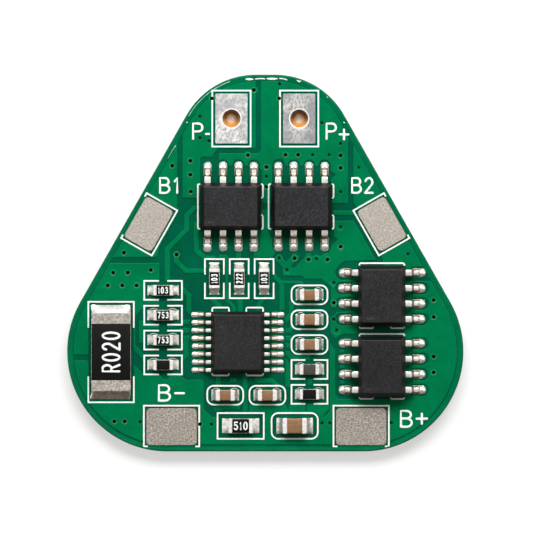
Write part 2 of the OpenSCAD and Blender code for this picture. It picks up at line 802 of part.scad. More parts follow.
// Lead from the wall of the body over a shoulder and down to its foot
module gull_lead(wall, shoulder, foot, tip, lead_z, lead_t, lead_w, reach) {
    path = [[wall, lead_z], [wall + shoulder, lead_z], [tip - foot, lead_t / 2], [tip, lead_t / 2]];
    translate([0, 0, land_z])
        rotate([90, 0, 0])
            linear_extrude(lead_w, center = true)
                polygon(ribbon(bent(path, reach), lead_t));
}

// Solder over one land: beside the foot, up its tip and out to the round end.
// Its children are what stands in it.
module solder_joint(inner, tip, outer, width, rise, side_h) {
    profile = [
        [inner, -copper_t], [inner, side_h], [tip, rise],
        [tip + (outer - tip) / 3, solder_waist_share * rise + solder_rim_h],
        [outer, solder_rim_h], [outer, -copper_t]
    ];
    difference() {
        intersection() {
            translate([0, 0, land_z])
                rotate([90, 0, 0])
                    linear_extrude(width + overrun, center = true)
                        polygon(profile);
            between(board_t - overrun, land_z + rise + overrun)
                round_land(inner, outer, width, 0);
        }
        children();
    }
}

module mosfet_lead() {
    gull_lead(mosfet_w / 2, mosfet_shoulder, mosfet_foot, mosfet_span / 2,
        mosfet_lead_z, mosfet_lead_t, mosfet_lead_w, mosfet_bend);
}

module mosfet_body(i) {
    part = mosfets[i - 1];
    color("dimgray")
        placed(part)
            moulded_body([mosfet_w, mosfet_l, mosfet_h], mosfet_standoff,
                mosfet_lead_z, mosfet_lead_t, mosfet_draft, part[2]);
}

module mosfet_leads(i) {
    color("silver")
        placed(mosfets[i - 1])
            each_lead(mosfet_leads_a_side, mosfet_pitch)
                mosfet_lead();
}

module solder_mosfets() {
    color("lightgray")
        for (part = mosfets)
            placed(part)
                each_lead(mosfet_leads_a_side, mosfet_pitch)
                    solder_joint(mosfet_span / 2 - mosfet_foot, mosfet_span / 2, mosfet_span / 2 + mosfet_land_reach,
                        mosfet_land_w, mosfet_lead_t, solder_side_h)
                        mosfet_lead();
}

module controller_lead() {
    gull_lead(controller_w / 2, controller_shoulder, controller_foot, controller_span / 2,
        controller_lead_z, controller_lead_t, controller_lead_w, controller_bend);
}

module controller_body() {
    color("dimgray")
        placed(controller)
            moulded_body([controller_w, controller_l, controller_h], controller_standoff,
                controller_lead_z, controller_lead_t, controller_draft, controller[2]);
}

module controller_leads() {
    color("silver")
        placed(controller)
            each_lead(controller_leads_a_side, controller_pitch)
                controller_lead();
}

module solder_controller() {
    color("lightgray")
        placed(controller)
            each_lead(controller_leads_a_side, controller_pitch)
                solder_joint(controller_span / 2 - controller_foot, controller_span / 2,
                    controller_span / 2 + controller_land_reach, controller_land_w, controller_lead_t, solder_side_h / 2)
                    controller_lead();
}

// Ceramic of a resistor between its ends, with the overcoat on top. The ends
// wrap its top, bottom and end faces, and its long sides are bare.
module resistor_shape(size) {
    core_l = size[0] - 2 * end_t;
    between(land_z + end_t, land_z + size[2] - end_t)
        square([core_l, size[1]], center = true);
    between(land_z + size[2] - end_t, land_z + size[2] + overcoat_t)
        square([size[0] - 2 * size[3], size[1] - 2 * overcoat_inset], center = true);
}

module wrapped_ends(size, side_t, r) {
    difference() {
        between(land_z, land_z + size[2])
            rounded([size[0], size[1] + 2 * side_t], r);
        between(land_z - overrun, land_z + size[2] + overrun)
            square([size[0] - 2 * size[3], size[1] + overrun], center = true);
        between(land_z + end_t, land_z + size[2] - end_t)
            square([size[0] - 2 * end_t, size[1]], center = true);
    }
}

module resistor_body(part) {
    color("black")
        placed(part)
            resistor_shape(part[2]);
}

module resistor_ends(part) {
    color("lightgray")
        placed(part)
            wrapped_ends(part[2], 0, resistor_edge_r);
}

module capacitor_body(part) {
    size = part[2];
    color("peru")
        placed(part)
            between(land_z + end_t, land_z + size[2] - end_t)
                square([size[0] - 2 * end_t, size[1]], center = true);
}

module capacitor_ends(part) {
    color("lightgray")
        placed(part)
            wrapped_ends(part[2], end_t, capacitor_edge_r);
}

// Solder at both ends of a chip, climbing its end faces
module chip_solder(part, side_t, r) {
    size = part[2];
    half = size[0] / 2;
    outer = half + size[4];
    width = size[1] + 2 * solder_side_share * size[5];
    climb = solder_climb_share * size[2];
    run = size[3] + size[4] + land_corner_r;
    placed(part)
        for (way = [0, 180])
            rotate(way)
                difference() {
                    intersection() {
                        translate([0, 0, land_z])
                            rotate([90, 0, 0])
                                linear_extrude(width + overrun, center = true)
                                    polygon([
                                        [half - size[3], -copper_t], [half - size[3], solder_side_h],
                                        [half, climb], [half + size[4] / 3, solder_waist_share * climb],
                                        [outer, solder_rim_h], [outer, -copper_t]
                                    ]);
                        between(board_t - overrun, land_z + climb + overrun)
                            translate([outer - run / 2, 0])
                                rounded([run, width], land_corner_r);
                    }
                    between(land_z, land_z + size[2] + overrun)
                        rounded([size[0], size[1] + 2 * side_t], r);
                }
}

module solder_resistors() {
    color("lightgray")
        for (part = concat(resistors, [grey_chip]))
            chip_solder(part, 0, resistor_edge_r);
}

module solder_capacitors() {
    color("lightgray")
        for (part = capacitors)
            chip_solder(part, end_t, capacitor_edge_r);
}

module solder_shunt() {
    color("lightgray")
        chip_solder(shunt, 0, resistor_edge_r);
}

circuit_board();
copper_tracks();
silkscreen_frames();
terminal(-1);  // terminal_p_minus
terminal(1);  // terminal_p_plus
lower_pad(-1);  // pad_b_minus
lower_pad(1);  // pad_b_plus
side_pad(-1);  // pad_b1
side_pad(1);  // pad_b2
for (i = [1 : 4]) {
    mosfet_body(i);
    mosfet_leads(i);
}
controller_body();
controller_leads();
resistor_body(shunt);  // shunt_body
resistor_ends(shunt);  // shunt_ends
for (i = [1 : 9]) {
    resistor_body(resistors[i - 1]);
    resistor_ends(resistors[i - 1]);
}
resistor_body(grey_chip);  // grey_chip_body
resistor_ends(grey_chip);  // grey_chip_ends
for (i = [1 : 6]) {
    capacitor_body(capacitors[i - 1]);
    capacitor_ends(capacitors[i - 1]);
}
solder_mosfets();
solder_controller();
solder_shunt();
solder_resistors();
solder_capacitors();
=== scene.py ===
import json
import math
import random

import bmesh
import bpy
from mathutils import Matrix, Vector


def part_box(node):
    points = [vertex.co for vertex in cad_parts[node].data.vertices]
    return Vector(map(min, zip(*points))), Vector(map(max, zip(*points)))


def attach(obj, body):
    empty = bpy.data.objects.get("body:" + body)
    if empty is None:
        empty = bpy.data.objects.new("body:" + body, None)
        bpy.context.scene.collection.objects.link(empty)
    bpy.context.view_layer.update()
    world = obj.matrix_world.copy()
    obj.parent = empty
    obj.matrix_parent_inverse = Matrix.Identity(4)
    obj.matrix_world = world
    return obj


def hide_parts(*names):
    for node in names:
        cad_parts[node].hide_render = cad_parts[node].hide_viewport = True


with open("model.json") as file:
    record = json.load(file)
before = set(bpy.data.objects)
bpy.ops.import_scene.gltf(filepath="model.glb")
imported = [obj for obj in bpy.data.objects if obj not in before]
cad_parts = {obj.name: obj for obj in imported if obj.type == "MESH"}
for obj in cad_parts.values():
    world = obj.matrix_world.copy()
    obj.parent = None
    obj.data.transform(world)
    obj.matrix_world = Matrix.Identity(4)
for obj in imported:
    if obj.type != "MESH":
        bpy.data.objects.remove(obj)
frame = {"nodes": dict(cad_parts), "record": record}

MM = 0.001
SHARP_ANGLE, SOLDER_ANGLE = 40, 85
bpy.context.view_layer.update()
NODES = frame["nodes"]

# The photograph's frame: pixels, pixels per millimetre and the board's middle
PHOTO_PX = 533
PX_PER_MM = 12.19
BOARD_PX = (265.3, 263.05)

# Sizes shared with the solids, in millimetres
BOARD_W, BOARD_H, BOARD_T = 32.5, 30.9, 1.2
CORNER_R, APEX_R, APEX_FLAT = 8.2, 6.5, 1.6
COPPER_INSET = 0.55
LAND_Z = 1.25
PAD_Z = 1.28
END_T, OVERCOAT_T = 0.04, 0.02
EAR_R, EAR_HIGH, EAR_INSET = 0.085, 0.05, 0.02
LEGEND_Z = 1.27
END_BAND, LARGE_END_BAND, SHUNT_BAND = 0.27, 0.32, 0.92
CAPACITOR_BAND, LARGE_CAPACITOR_BAND, GREY_BAND = 0.37, 0.39, 0.31
MOSFET_PITCH, MOSFET_LEADS, MOSFET_FOOT = 1.27, 4, 0.45
MOSFET_SPAN, MOSFET_LAND_REACH, MOSFET_LAND_W = 6.0, 0.7, 0.7
MOSFET_LEAD_W, MOSFET_LEAD_T, MOSFET_LEAD_Z, MOSFET_SHOULDER = 0.52, 0.2, 0.78, 0.5
MOSFET_W, MOSFET_DRAFT = 3.9, (0.14, 0.32)
CONTROLLER_PITCH, CONTROLLER_LEADS, CONTROLLER_FOOT = 0.65, 8, 0.4
CONTROLLER_SPAN, CONTROLLER_LAND_REACH, CONTROLLER_LAND_W = 6.4, 0.62, 0.42
CONTROLLER_LEAD_W, CONTROLLER_LEAD_T, CONTROLLER_LEAD_Z, CONTROLLER_SHOULDER = 0.3, 0.13, 0.5, 0.4
CONTROLLER_W, CONTROLLER_DRAFT = 4.4, (0.12, 0.27)
DIMPLE_R, DIMPLE_INSET = 0.35, 0.93
FOOT_SLIM = 0.22
UPPER_BEAD, LOWER_BEAD = (0.73, 0.65), (0.60, 0.73)
TERMINAL_X, TERMINAL_Y, TERMINAL_HOLE_R = 2.779, 11.85, 0.75
VIA_R = 0.15
FLOOR_GLOW_SHARE = 0.55

# Reach of the solder beyond the ends of each chip
REACHES = {f"resistor_{i}": 0.5 for i in (1, 2, 3, 4)}
REACHES.update({f"resistor_{i}": 0.53 for i in (5, 6, 7)})
REACHES.update({"resistor_8": 0.40, "resistor_9": 0.54, "grey_chip": 0.40, "shunt": 0.65})
REACHES.update({f"capacitor_{i}": 0.35 for i in (1, 2, 3, 4, 5)})
REACHES.update({"capacitor_6": 0.52})

VIA_SHARES = [
    (-0.029, 0.459), (-0.135, 0.437), (-0.165, 0.389), (-0.165, 0.332), (-0.142, 0.324),
    (-0.235, 0.258), (-0.189, 0.271), (-0.189, 0.234), (-0.188, 0.189), (-0.044, 0.286),
    (0.003, 0.254), (0.003, 0.230), (0.003, 0.202), (0.035, 0.437), (0.036, 0.475),
    (0.143, 0.372), (0.190, 0.317), (0.051, 0.287), (0.083, 0.287), (0.120, 0.287),
    (0.161, 0.287), (0.190, 0.285), (0.190, 0.252), (0.236, 0.254), (0.190, 0.189),
    (0.190, 0.096), (0.190, 0.043), (0.035, 0.013), (0.074, 0.012), (0.109, 0.009),
    (0.129, 0.011), (0.157, 0.009), (0.055, -0.018), (-0.357, 0.027), (-0.224, 0.022),
    (-0.384, -0.026), (-0.347, -0.026), (-0.289, -0.019), (-0.398, -0.060), (-0.361, -0.060),
    (-0.325, -0.060), (0.360, 0.024), (0.425, -0.099), (0.425, -0.144), (0.425, -0.249),
    (0.425, -0.291), (0.173, -0.052), (0.173, -0.106), (0.173, -0.150), (0.180, -0.178),
    (-0.381, -0.421), (-0.355, -0.421), (-0.165, -0.428), (-0.136, -0.428), (-0.316, -0.422),
    (0.143, -0.425), (0.163, -0.425), (0.318, -0.424),
]


# Vias that the mask closes, by their place in the list
CLOSED_VIAS = {2, 3, 4, 11, 14, 15, 16, 19, 20, 23, 24, 25, 27, 30, 32, 41, 46, 48, 49, 53, 54, 55, 56, 57}


def srgb(r, g, b):
    """Linear colour of an 8-bit screen colour."""
    def linear(c):
        c /= 255
        return c / 12.92 if c <= 0.04045 else ((c + 0.055) / 1.055) ** 2.4
    return (linear(r), linear(g), linear(b), 1.0)


def grey(value):
    return (value, value, value, 1.0)


def on_photo(px, py):
    """Place on the board, in millimetres, of a pixel of the photograph."""
    return Vector(((px - BOARD_PX[0]) / PX_PER_MM, (BOARD_PX[1] - py) / PX_PER_MM))


# Dark brown of the painted shade in the bend of a formed lead.
BEND_SHADE_COLOR = srgb(74, 60, 42)

# Materials


class Look:
    """A material under construction. Its noise scales are counts per millimetre."""

    def __init__(self, name, color, roughness=0.5, metallic=0.0, specular=0.5):
        self.material = bpy.data.materials.new(name)
        self.material.use_nodes = True
        self.tree = self.material.node_tree
        self.shader = self.tree.nodes["Principled BSDF"]
        self.shader.inputs["Base Color"].default_value = color
        self.shader.inputs["Roughness"].default_value = roughness
        self.shader.inputs["Metallic"].default_value = metallic
        self.shader.inputs["Specular IOR Level"].default_value = specular
        place = self.tree.nodes.new("ShaderNodeTexCoord").outputs["Object"]
        self.mm = self.vector("MULTIPLY", place, (1 / MM,) * 3)

    def link(self, source, target):
        self.tree.links.new(source, target)

    def vector(self, operation, a, b):
        n = self.tree.nodes.new("ShaderNodeVectorMath")
        n.operation = operation
        for socket, value in zip(n.inputs, (a, b)):
            if isinstance(value, bpy.types.NodeSocket):
                self.link(value, socket)
            else:
                socket.default_value = value
        return n.outputs["Value" if operation == "DOT_PRODUCT" else "Vector"]

    def math(self, operation, a, b=0.0):
        n = self.tree.nodes.new("ShaderNodeMath")
        n.operation = operation
        for socket, value in zip(n.inputs, (a, b)):
            if isinstance(value, bpy.types.NodeSocket):
                self.link(value, socket)
            else:
                socket.default_value = value
        return n.outputs[0]

    def part(self, axis):
        """One coordinate of the place, in millimetres."""
        n = self.tree.nodes.new("ShaderNodeSeparateXYZ")
        self.link(self.mm, n.inputs["Vector"])
        return n.outputs[axis]

    def noise(self, scale, detail=2.0, roughness=0.5, stretch=(1, 1, 1), shift=0.0):
        n = self.tree.nodes.new("ShaderNodeTexNoise")
        where = self.vector("MULTIPLY", self.mm, stretch)
        self.link(self.vector("ADD", where, (shift,) * 3), n.inputs["Vector"])
        n.inputs["Scale"].default_value = scale
        n.inputs["Detail"].default_value = detail
        n.inputs["Roughness"].default_value = roughness
        return n.outputs["Fac"]

    def cells(self, scale):
        n = self.tree.nodes.new("ShaderNodeTexVoronoi")
        self.link(self.mm, n.inputs["Vector"])
        n.inputs["Scale"].default_value = scale
        return n.outputs["Color"]

    def between(self, factor, low, high, start=0.35, end=0.65):
        n = self.tree.nodes.new("ShaderNodeMapRange")
        self.link(factor, n.inputs["Value"])
        n.inputs["From Min"].default_value = start
        n.inputs["From Max"].default_value = end
        n.inputs["To Min"].default_value = low
        n.inputs["To Max"].default_value = high
        return n.outputs["Result"]

    def ramp(self, factor, *stops):
        n = self.tree.nodes.new("ShaderNodeValToRGB")
        self.link(factor, n.inputs["Fac"])
        while len(n.color_ramp.elements) < len(stops):
            n.color_ramp.elements.new(0.5)
        for element, (position, color) in zip(n.color_ramp.elements, stops):
            element.position = position
            element.color = color
        return n.outputs["Color"]

    def mix(self, factor, a, b, blend="MIX"):
        n = self.tree.nodes.new("ShaderNodeMix")
        n.data_type = "RGBA"
        n.blend_type = blend
        sockets = {s.identifier: s for s in n.inputs}
        for name, value in (("Factor_Float", factor), ("A_Color", a), ("B_Color", b)):
            if isinstance(value, bpy.types.NodeSocket):
                self.link(value, sockets[name])
            else:
                sockets[name].default_value = value
        return {s.identifier: s for s in n.outputs}["Result_Color"]

    def color(self, socket):
        self.link(socket, self.shader.inputs["Base Color"])

    def rough(self, socket):
        self.link(socket, self.shader.inputs["Roughness"])

    def rounded_normal(self, radius):
        n = self.tree.nodes.new("ShaderNodeBevel")
        n.samples = 6
        n.inputs["Radius"].default_value = radius * MM
        return n.outputs["Normal"]

    def edges(self, radius):
        """1 at the edges of the shape, 0 elsewhere."""
        flat = self.tree.nodes.new("ShaderNodeNewGeometry").outputs["Normal"]
        even = self.vector("DOT_PRODUCT", self.rounded_normal(radius), flat)
        return self.between(even, 1.0, 0.0, 0.75, 0.999)

    def upward(self):
        """Height part of the surface's direction: 1 on top, 0 on walls, -1 underneath."""
        flat = self.tree.nodes.new("ShaderNodeNewGeometry").outputs["Normal"]
        return self.vector("DOT_PRODUCT", flat, (0.0, 0.0, 1.0))

    def relief(self, height, depth, normal=None):
        n = self.tree.nodes.new("ShaderNodeBump")
        n.inputs["Strength"].default_value = 1.0
        n.inputs["Distance"].default_value = depth * MM
        self.link(height, n.inputs["Height"])
        if normal:
            self.link(normal, n.inputs["Normal"])
        return n.outputs["Normal"]

    def normal(self, socket):
        self.link(socket, self.shader.inputs["Normal"])


def mask_look(name, low, high, edge):
    """Glossy green solder mask: clouded colour, orange peel and rounded shoulders, with a painted highlight along its
    edges.
    """
    look = Look(name, high, roughness=0.26, specular=0.025)
    cloud = look.noise(0.45, detail=3.0, roughness=0.6)
    base = look.ramp(cloud, (0.34, low), (0.66, high))
    grain = look.noise(9.0, detail=3.0)
    base = look.mix(1.0, base, look.ramp(grain, (0.35, grey(0.86)), (0.65, grey(1.0))), "MULTIPLY")
    # Painted highlight: the edge colour lies on the rounded shoulders of the mask.
    look.color(look.mix(look.edges(0.06), base, edge))
    look.normal(look.relief(look.noise(2.6, detail=2.0), 0.006, look.rounded_normal(0.08)))
    return look


def laminate_look():
    """Mask over bare laminate on both faces, and glass cloth at the sawn edge."""
    look = mask_look("mask_over_laminate", srgb(0, 80, 56), srgb(0, 92, 64), srgb(8, 112, 78))
    face = look.shader.inputs["Base Color"].links[0].from_socket
    layers = look.noise(9.0, detail=3.0, stretch=(0.25, 0.25, 3.2))
    cloth = look.ramp(layers, (0.36, srgb(74, 88, 50)), (0.5, srgb(112, 116, 70)), (0.66, srgb(140, 138, 92)))
    wall = look.between(look.math("ABSOLUTE", look.upward()), 1.0, 0.0, 0.3, 0.6)
    look.color(look.mix(wall, face, cloth))
    return look.material


def copper_mask_look():
    return mask_look("mask_over_copper", srgb(0, 107, 65), srgb(0, 118, 72), srgb(30, 156, 110)).material


def margin_look():
    """Mask on the bare margin along the board edge, a little paler than between the tracks, with a strong painted
    highlight along its rounded edges.
    """
    return mask_look("mask_margin", srgb(0, 98, 62), srgb(1, 112, 70), srgb(110, 205, 170)).material


def glint_look():
    """Thin ridges of mask along the board's edge and a copper edge, made pale as a painted highlight."""
    return mask_look("mask_glint", srgb(96, 176, 146), srgb(170, 226, 206), srgb(190, 236, 220)).material


def ring_look():
    """Paler mask that thins out over the ring of a via."""
    return mask_look("mask_ring", srgb(0, 118, 72), srgb(6, 138, 86), srgb(50, 160, 110)).material


def dish_look():
    """Mask that sinks into a closed via: darker towards the middle."""
    look = mask_look("mask_dish", srgb(0, 108, 66), srgb(2, 124, 78), srgb(20, 140, 96))
    face = look.shader.inputs["Base Color"].links[0].from_socket
    deep = look.between(look.part("Z"), 0.0, 1.0, LAND_Z + 0.004, LAND_Z - 0.03)
    look.color(look.mix(deep, face, srgb(0, 46, 30)))
    return look.material


def ink_look():
    """White legend ink: slightly uneven cover with thin spots that let the mask through."""
    look = Look("legend_ink", srgb(240, 246, 241), roughness=0.6, specular=0.2)
    thin = look.noise(7.0, detail=4.0, roughness=0.65)
    look.color(look.ramp(thin, (0.28, srgb(150, 200, 176)), (0.38, srgb(226, 238, 231)), (0.60, srgb(248, 250, 248))))
    look.normal(look.relief(look.noise(11.0, detail=3.0), 0.006, look.rounded_normal(0.03)))
    return look.material


def moulding_look():
    """Dark moulded package: sandy top, flanks darkened with painted shade, a pale upper edge of wear and painted
    highlight, a painted highlight on edges facing +Y and painted shade towards -Y.
    """
    look = Look("package_black", srgb(50, 50, 52), roughness=0.6, specular=0.18)
    grain = look.noise(14.0, detail=3.0, roughness=0.9)
    cloud = look.noise(0.9, detail=2.0)
    body = look.ramp(look.cells(12.0), (0.2, srgb(18, 18, 20)), (0.5, srgb(32, 32, 34)), (0.8, srgb(48, 48, 51)))
    body = look.mix(look.between(cloud, 0.0, 0.25), body, srgb(24, 25, 27))
    # Painted shade: the flanks are darkened nearly to black.
    flank_shade = look.between(look.upward(), 1.0, 0.0, 0.75, 0.97)
    body = look.mix(flank_shade, body, srgb(9, 9, 8))
    # Pale upper edges: partly wear, partly a painted highlight.
    wear_and_highlight = look.math("MULTIPLY", look.edges(0.05), look.between(look.noise(6.0, detail=2.0), 0.2, 0.8))
    wear_and_highlight = look.math("MULTIPLY", wear_and_highlight, look.between(look.upward(), 0.0, 1.0, 0.6, 0.9))
    body = look.mix(wear_and_highlight, body, srgb(104, 103, 101))
    # Painted highlight on the rounded edges that lean towards +Y, where the key light stands.
    away = look.vector("DOT_PRODUCT", look.rounded_normal(0.07), (0.0, 1.0, 0.0))
    painted_y_highlight = look.math("MULTIPLY", look.between(away, 0.0, 0.8, 0.12, 0.30), look.between(away, 1.0, 0.0, 0.5, 0.65))
    body = look.mix(painted_y_highlight, body, srgb(102, 102, 101))
    # Painted shade: darker towards -Y, away from the key light.
    lower = look.between(look.part("Y"), 0.4, 0.0, -9.0, 4.0)
    look.color(look.mix(lower, body, srgb(12, 12, 14)))
    look.normal(look.relief(grain, 0.012, look.rounded_normal(0.03)))
    look.rough(look.math("ADD", look.between(grain, 0.50, 0.64), look.math("MULTIPLY", look.edges(0.05), -0.25)))
    return look.material


def tin_look(name, dark, light, grain_scale, roughness, depth, metallic=1.0, shade_top=0.0, mottle=0.5, specular=0.5):
    """Tin or solder: blotched colour and gloss, uneven skin, optional painted shade in the bend of a lead."""
    look = Look(name, light, roughness=roughness[0], metallic=metallic, specular=specular)
    blotch = look.noise(grain_scale, detail=4.0, roughness=0.62)
    wide = look.noise(grain_scale * 0.22, detail=2.0, shift=4.0)
    base = look.ramp(blotch, (0.5 - mottle / 3, dark), (0.5 + mottle / 3, light))
    base = look.mix(look.between(wide, 0.0, 0.4), base, dark)
    if shade_top:
        # Painted shade: a dark band up the steep part of the lead, from just above the land to the given top height.
        level = look.between(look.part("Z"), 0.0, 1.0, LAND_Z, LAND_Z + 1.0)
        bend_shade = look.ramp(level, (0.21, grey(0.0)), (0.26, grey(0.95)), (shade_top - 0.11, grey(0.95)), (shade_top, grey(0.0)))
        base = look.mix(bend_shade, base, BEND_SHADE_COLOR)
    look.color(base)
    look.rough(look.between(blotch, roughness[1], roughness[0]))
    look.normal(look.relief(blotch, depth, look.rounded_normal(0.05)))
    return look.material


def terminal_look():
    """Levelled tin of the output terminals: soft mottling, slightly drawn-out spots and a coppery rim."""
    look = Look("terminal_tin", grey(0.7), roughness=0.4, metallic=0.55)
    soft = look.noise(0.8, detail=2.0, shift=2.0)
    spots = look.noise(4.5, detail=5.0, roughness=0.72, stretch=(1.2, 0.8, 1))
    base = look.ramp(spots, (0.34, srgb(118, 118, 118)), (0.45, srgb(190, 190, 188)), (0.58, srgb(232, 231, 229)))
    base = look.mix(look.between(soft, 0.0, 0.75, 0.40, 0.62), base, srgb(150, 152, 155))
    side = look.math("SUBTRACT", look.math("ABSOLUTE", look.part("X")), TERMINAL_X)
    rise = look.math("SUBTRACT", look.part("Y"), TERMINAL_Y)
    away = look.math("SQRT", look.math("ADD", look.math("POWER", look.math("ABSOLUTE", side), 2.0),
                                       look.math("POWER", look.math("ABSOLUTE", rise), 2.0)))
    rim = look.math("MULTIPLY", look.edges(0.06), look.between(away, 0.0, 1.0, 1.05, 1.15))
    right = look.between(look.part("X"), 0.0, 1.0, -TERMINAL_X, TERMINAL_X)
    base = look.mix(right, base, grey(0.72), "MULTIPLY")
    look.color(look.mix(rim, base, srgb(150, 96, 62)))
    look.normal(look.relief(spots, 0.02, look.rounded_normal(0.05)))
    look.rough(look.between(spots, 0.52, 0.30))
    return look.material


def pad_look():
    """Dull levelled tin of the cell pads: crystal speckle, a coppery rim and painted light that pales it towards +Y.
    """
    look = Look("pad_tin", srgb(168, 160, 150), roughness=0.55, metallic=0.3, specular=0.3)
    speckle = look.noise(7.0, detail=4.0, roughness=0.8)
    base = look.ramp(speckle, (0.32, srgb(78, 71, 63)), (0.48, srgb(140, 132, 123)), (0.66, srgb(206, 200, 192)))
    cloud = look.between(look.noise(0.7, detail=2.0), 0.0, 0.3)
    base = look.mix(cloud, base, srgb(130, 122, 113))
    # Painted light: the tin is paler towards +Y, the side the key light comes from.
    painted_y_light = look.between(look.part("Y"), 0.0, 0.28, -13.0, 4.0)
    base = look.mix(painted_y_light, base, srgb(206, 200, 190))
    look.color(look.mix(look.edges(0.08), base, srgb(96, 70, 44)))
    look.normal(look.relief(speckle, 0.02, look.rounded_normal(0.06)))
    look.rough(look.between(speckle, 0.62, 0.42))
    return look.material


def overcoat_look(name, low, high):
    """Printed overcoat on top of a chip."""
    look = Look(name, high, roughness=0.5, specular=0.08)
    grain = look.noise(14.0, detail=3.0, roughness=0.7)
    top = look.ramp(grain, (0.36, low), (0.68, high))
    look.color(top)
    look.normal(look.relief(grain, 0.008, look.rounded_normal(0.03)))
    return look.material


def alumina_look():
    """White ceramic of the resistors, seen as a thin border beside the overcoat."""
    look = Look("alumina", srgb(206, 202, 194), roughness=0.6, specular=0.2)
    grain = look.noise(10.0, detail=3.0)
    look.color(look.ramp(grain, (0.36, srgb(120, 114, 104)), (0.64, srgb(206, 202, 194))))
    look.normal(look.relief(grain, 0.008, look.rounded_normal(0.03)))
    return look.material


def tan_look():
    """Fired tan ceramic, with a painted highlight along its edges that face +Y."""
    look = Look("tan_ceramic", srgb(130, 98, 72), roughness=0.5, specular=0.2)
    bands = look.noise(3.2, detail=3.0, stretch=(0.5, 2.2, 2.2))
    grain = look.noise(16.0, detail=2.0)
    base = look.ramp(bands, (0.36, srgb(120, 88, 61)), (0.64, srgb(138, 103, 72)))
    base = look.mix(look.between(grain, 0.0, 0.25), base, srgb(160, 126, 94))
    soft = look.rounded_normal(0.09)
    # Painted highlight: paler where the rounded surface leans towards +Y.
    lean = look.vector("DOT_PRODUCT", soft, (0.0, 1.0, 0.0))
    base = look.mix(look.ramp(lean, (0.1, grey(0.0)), (0.35, grey(0.8)), (0.9, grey(0.5))), base, srgb(196, 164, 132))
    look.color(base)
    look.normal(look.relief(bands, 0.01, soft))
    return look.material


def lining_look():
    """Copper-toned lining of the terminal holes, with painted light and shade: amber on the wall that turns to +Y,
    dark brown on the wall that turns to -Y, pale at the bottom.
    """
    look = Look("hole_lining", srgb(205, 132, 60), roughness=0.45, metallic=0.2, specular=0.3)
    streak = look.noise(4.0, detail=3.0, stretch=(1, 1, 0.4))
    flat = look.tree.nodes.new("ShaderNodeNewGeometry").outputs["Normal"]
    # Painted light and shade: the wall's colour follows how far it turns towards +Y, where the key light stands.
    light_facing = look.vector("DOT_PRODUCT", flat, (0.0, 1.0, 0.0))
    shade = look.math("ADD", light_facing, look.between(streak, -0.12, 0.12))
    wall = look.ramp(look.between(shade, 0.0, 1.0, -0.8, 0.8), (0.05, srgb(88, 64, 36)), (0.45, srgb(128, 98, 60)),
                     (0.7, srgb(196, 136, 70)), (0.95, srgb(222, 158, 84)))
    # Painted light: pale towards the bottom, where the lining closes over the lit floor that would show through the
    # hole.
    deep = look.between(look.part("Z"), 1.0, 0.0, 0.14, 0.48)
    look.color(look.mix(deep, wall, srgb(240, 236, 224)))
    look.normal(look.relief(streak, 0.015))
    return look.material


def via_look():
    """Tinned slope at the mouth of a via."""
    look = Look("via_slope", srgb(120, 150, 110), roughness=0.35, metallic=0.7)
    look.color(look.ramp(look.noise(6.0), (0.35, srgb(34, 40, 24)), (0.65, srgb(96, 112, 68))))
    return look.material


# Dark stand-in for the shade inside an open via: painted shade.
def via_shade_plug_look():
    look = Look("via_shade_plug", srgb(14, 26, 20), roughness=0.8, specular=0.1)
    look.color(look.ramp(look.noise(5.0), (0.4, srgb(8, 14, 9)), (0.6, srgb(48, 40, 22))))
    return look.material


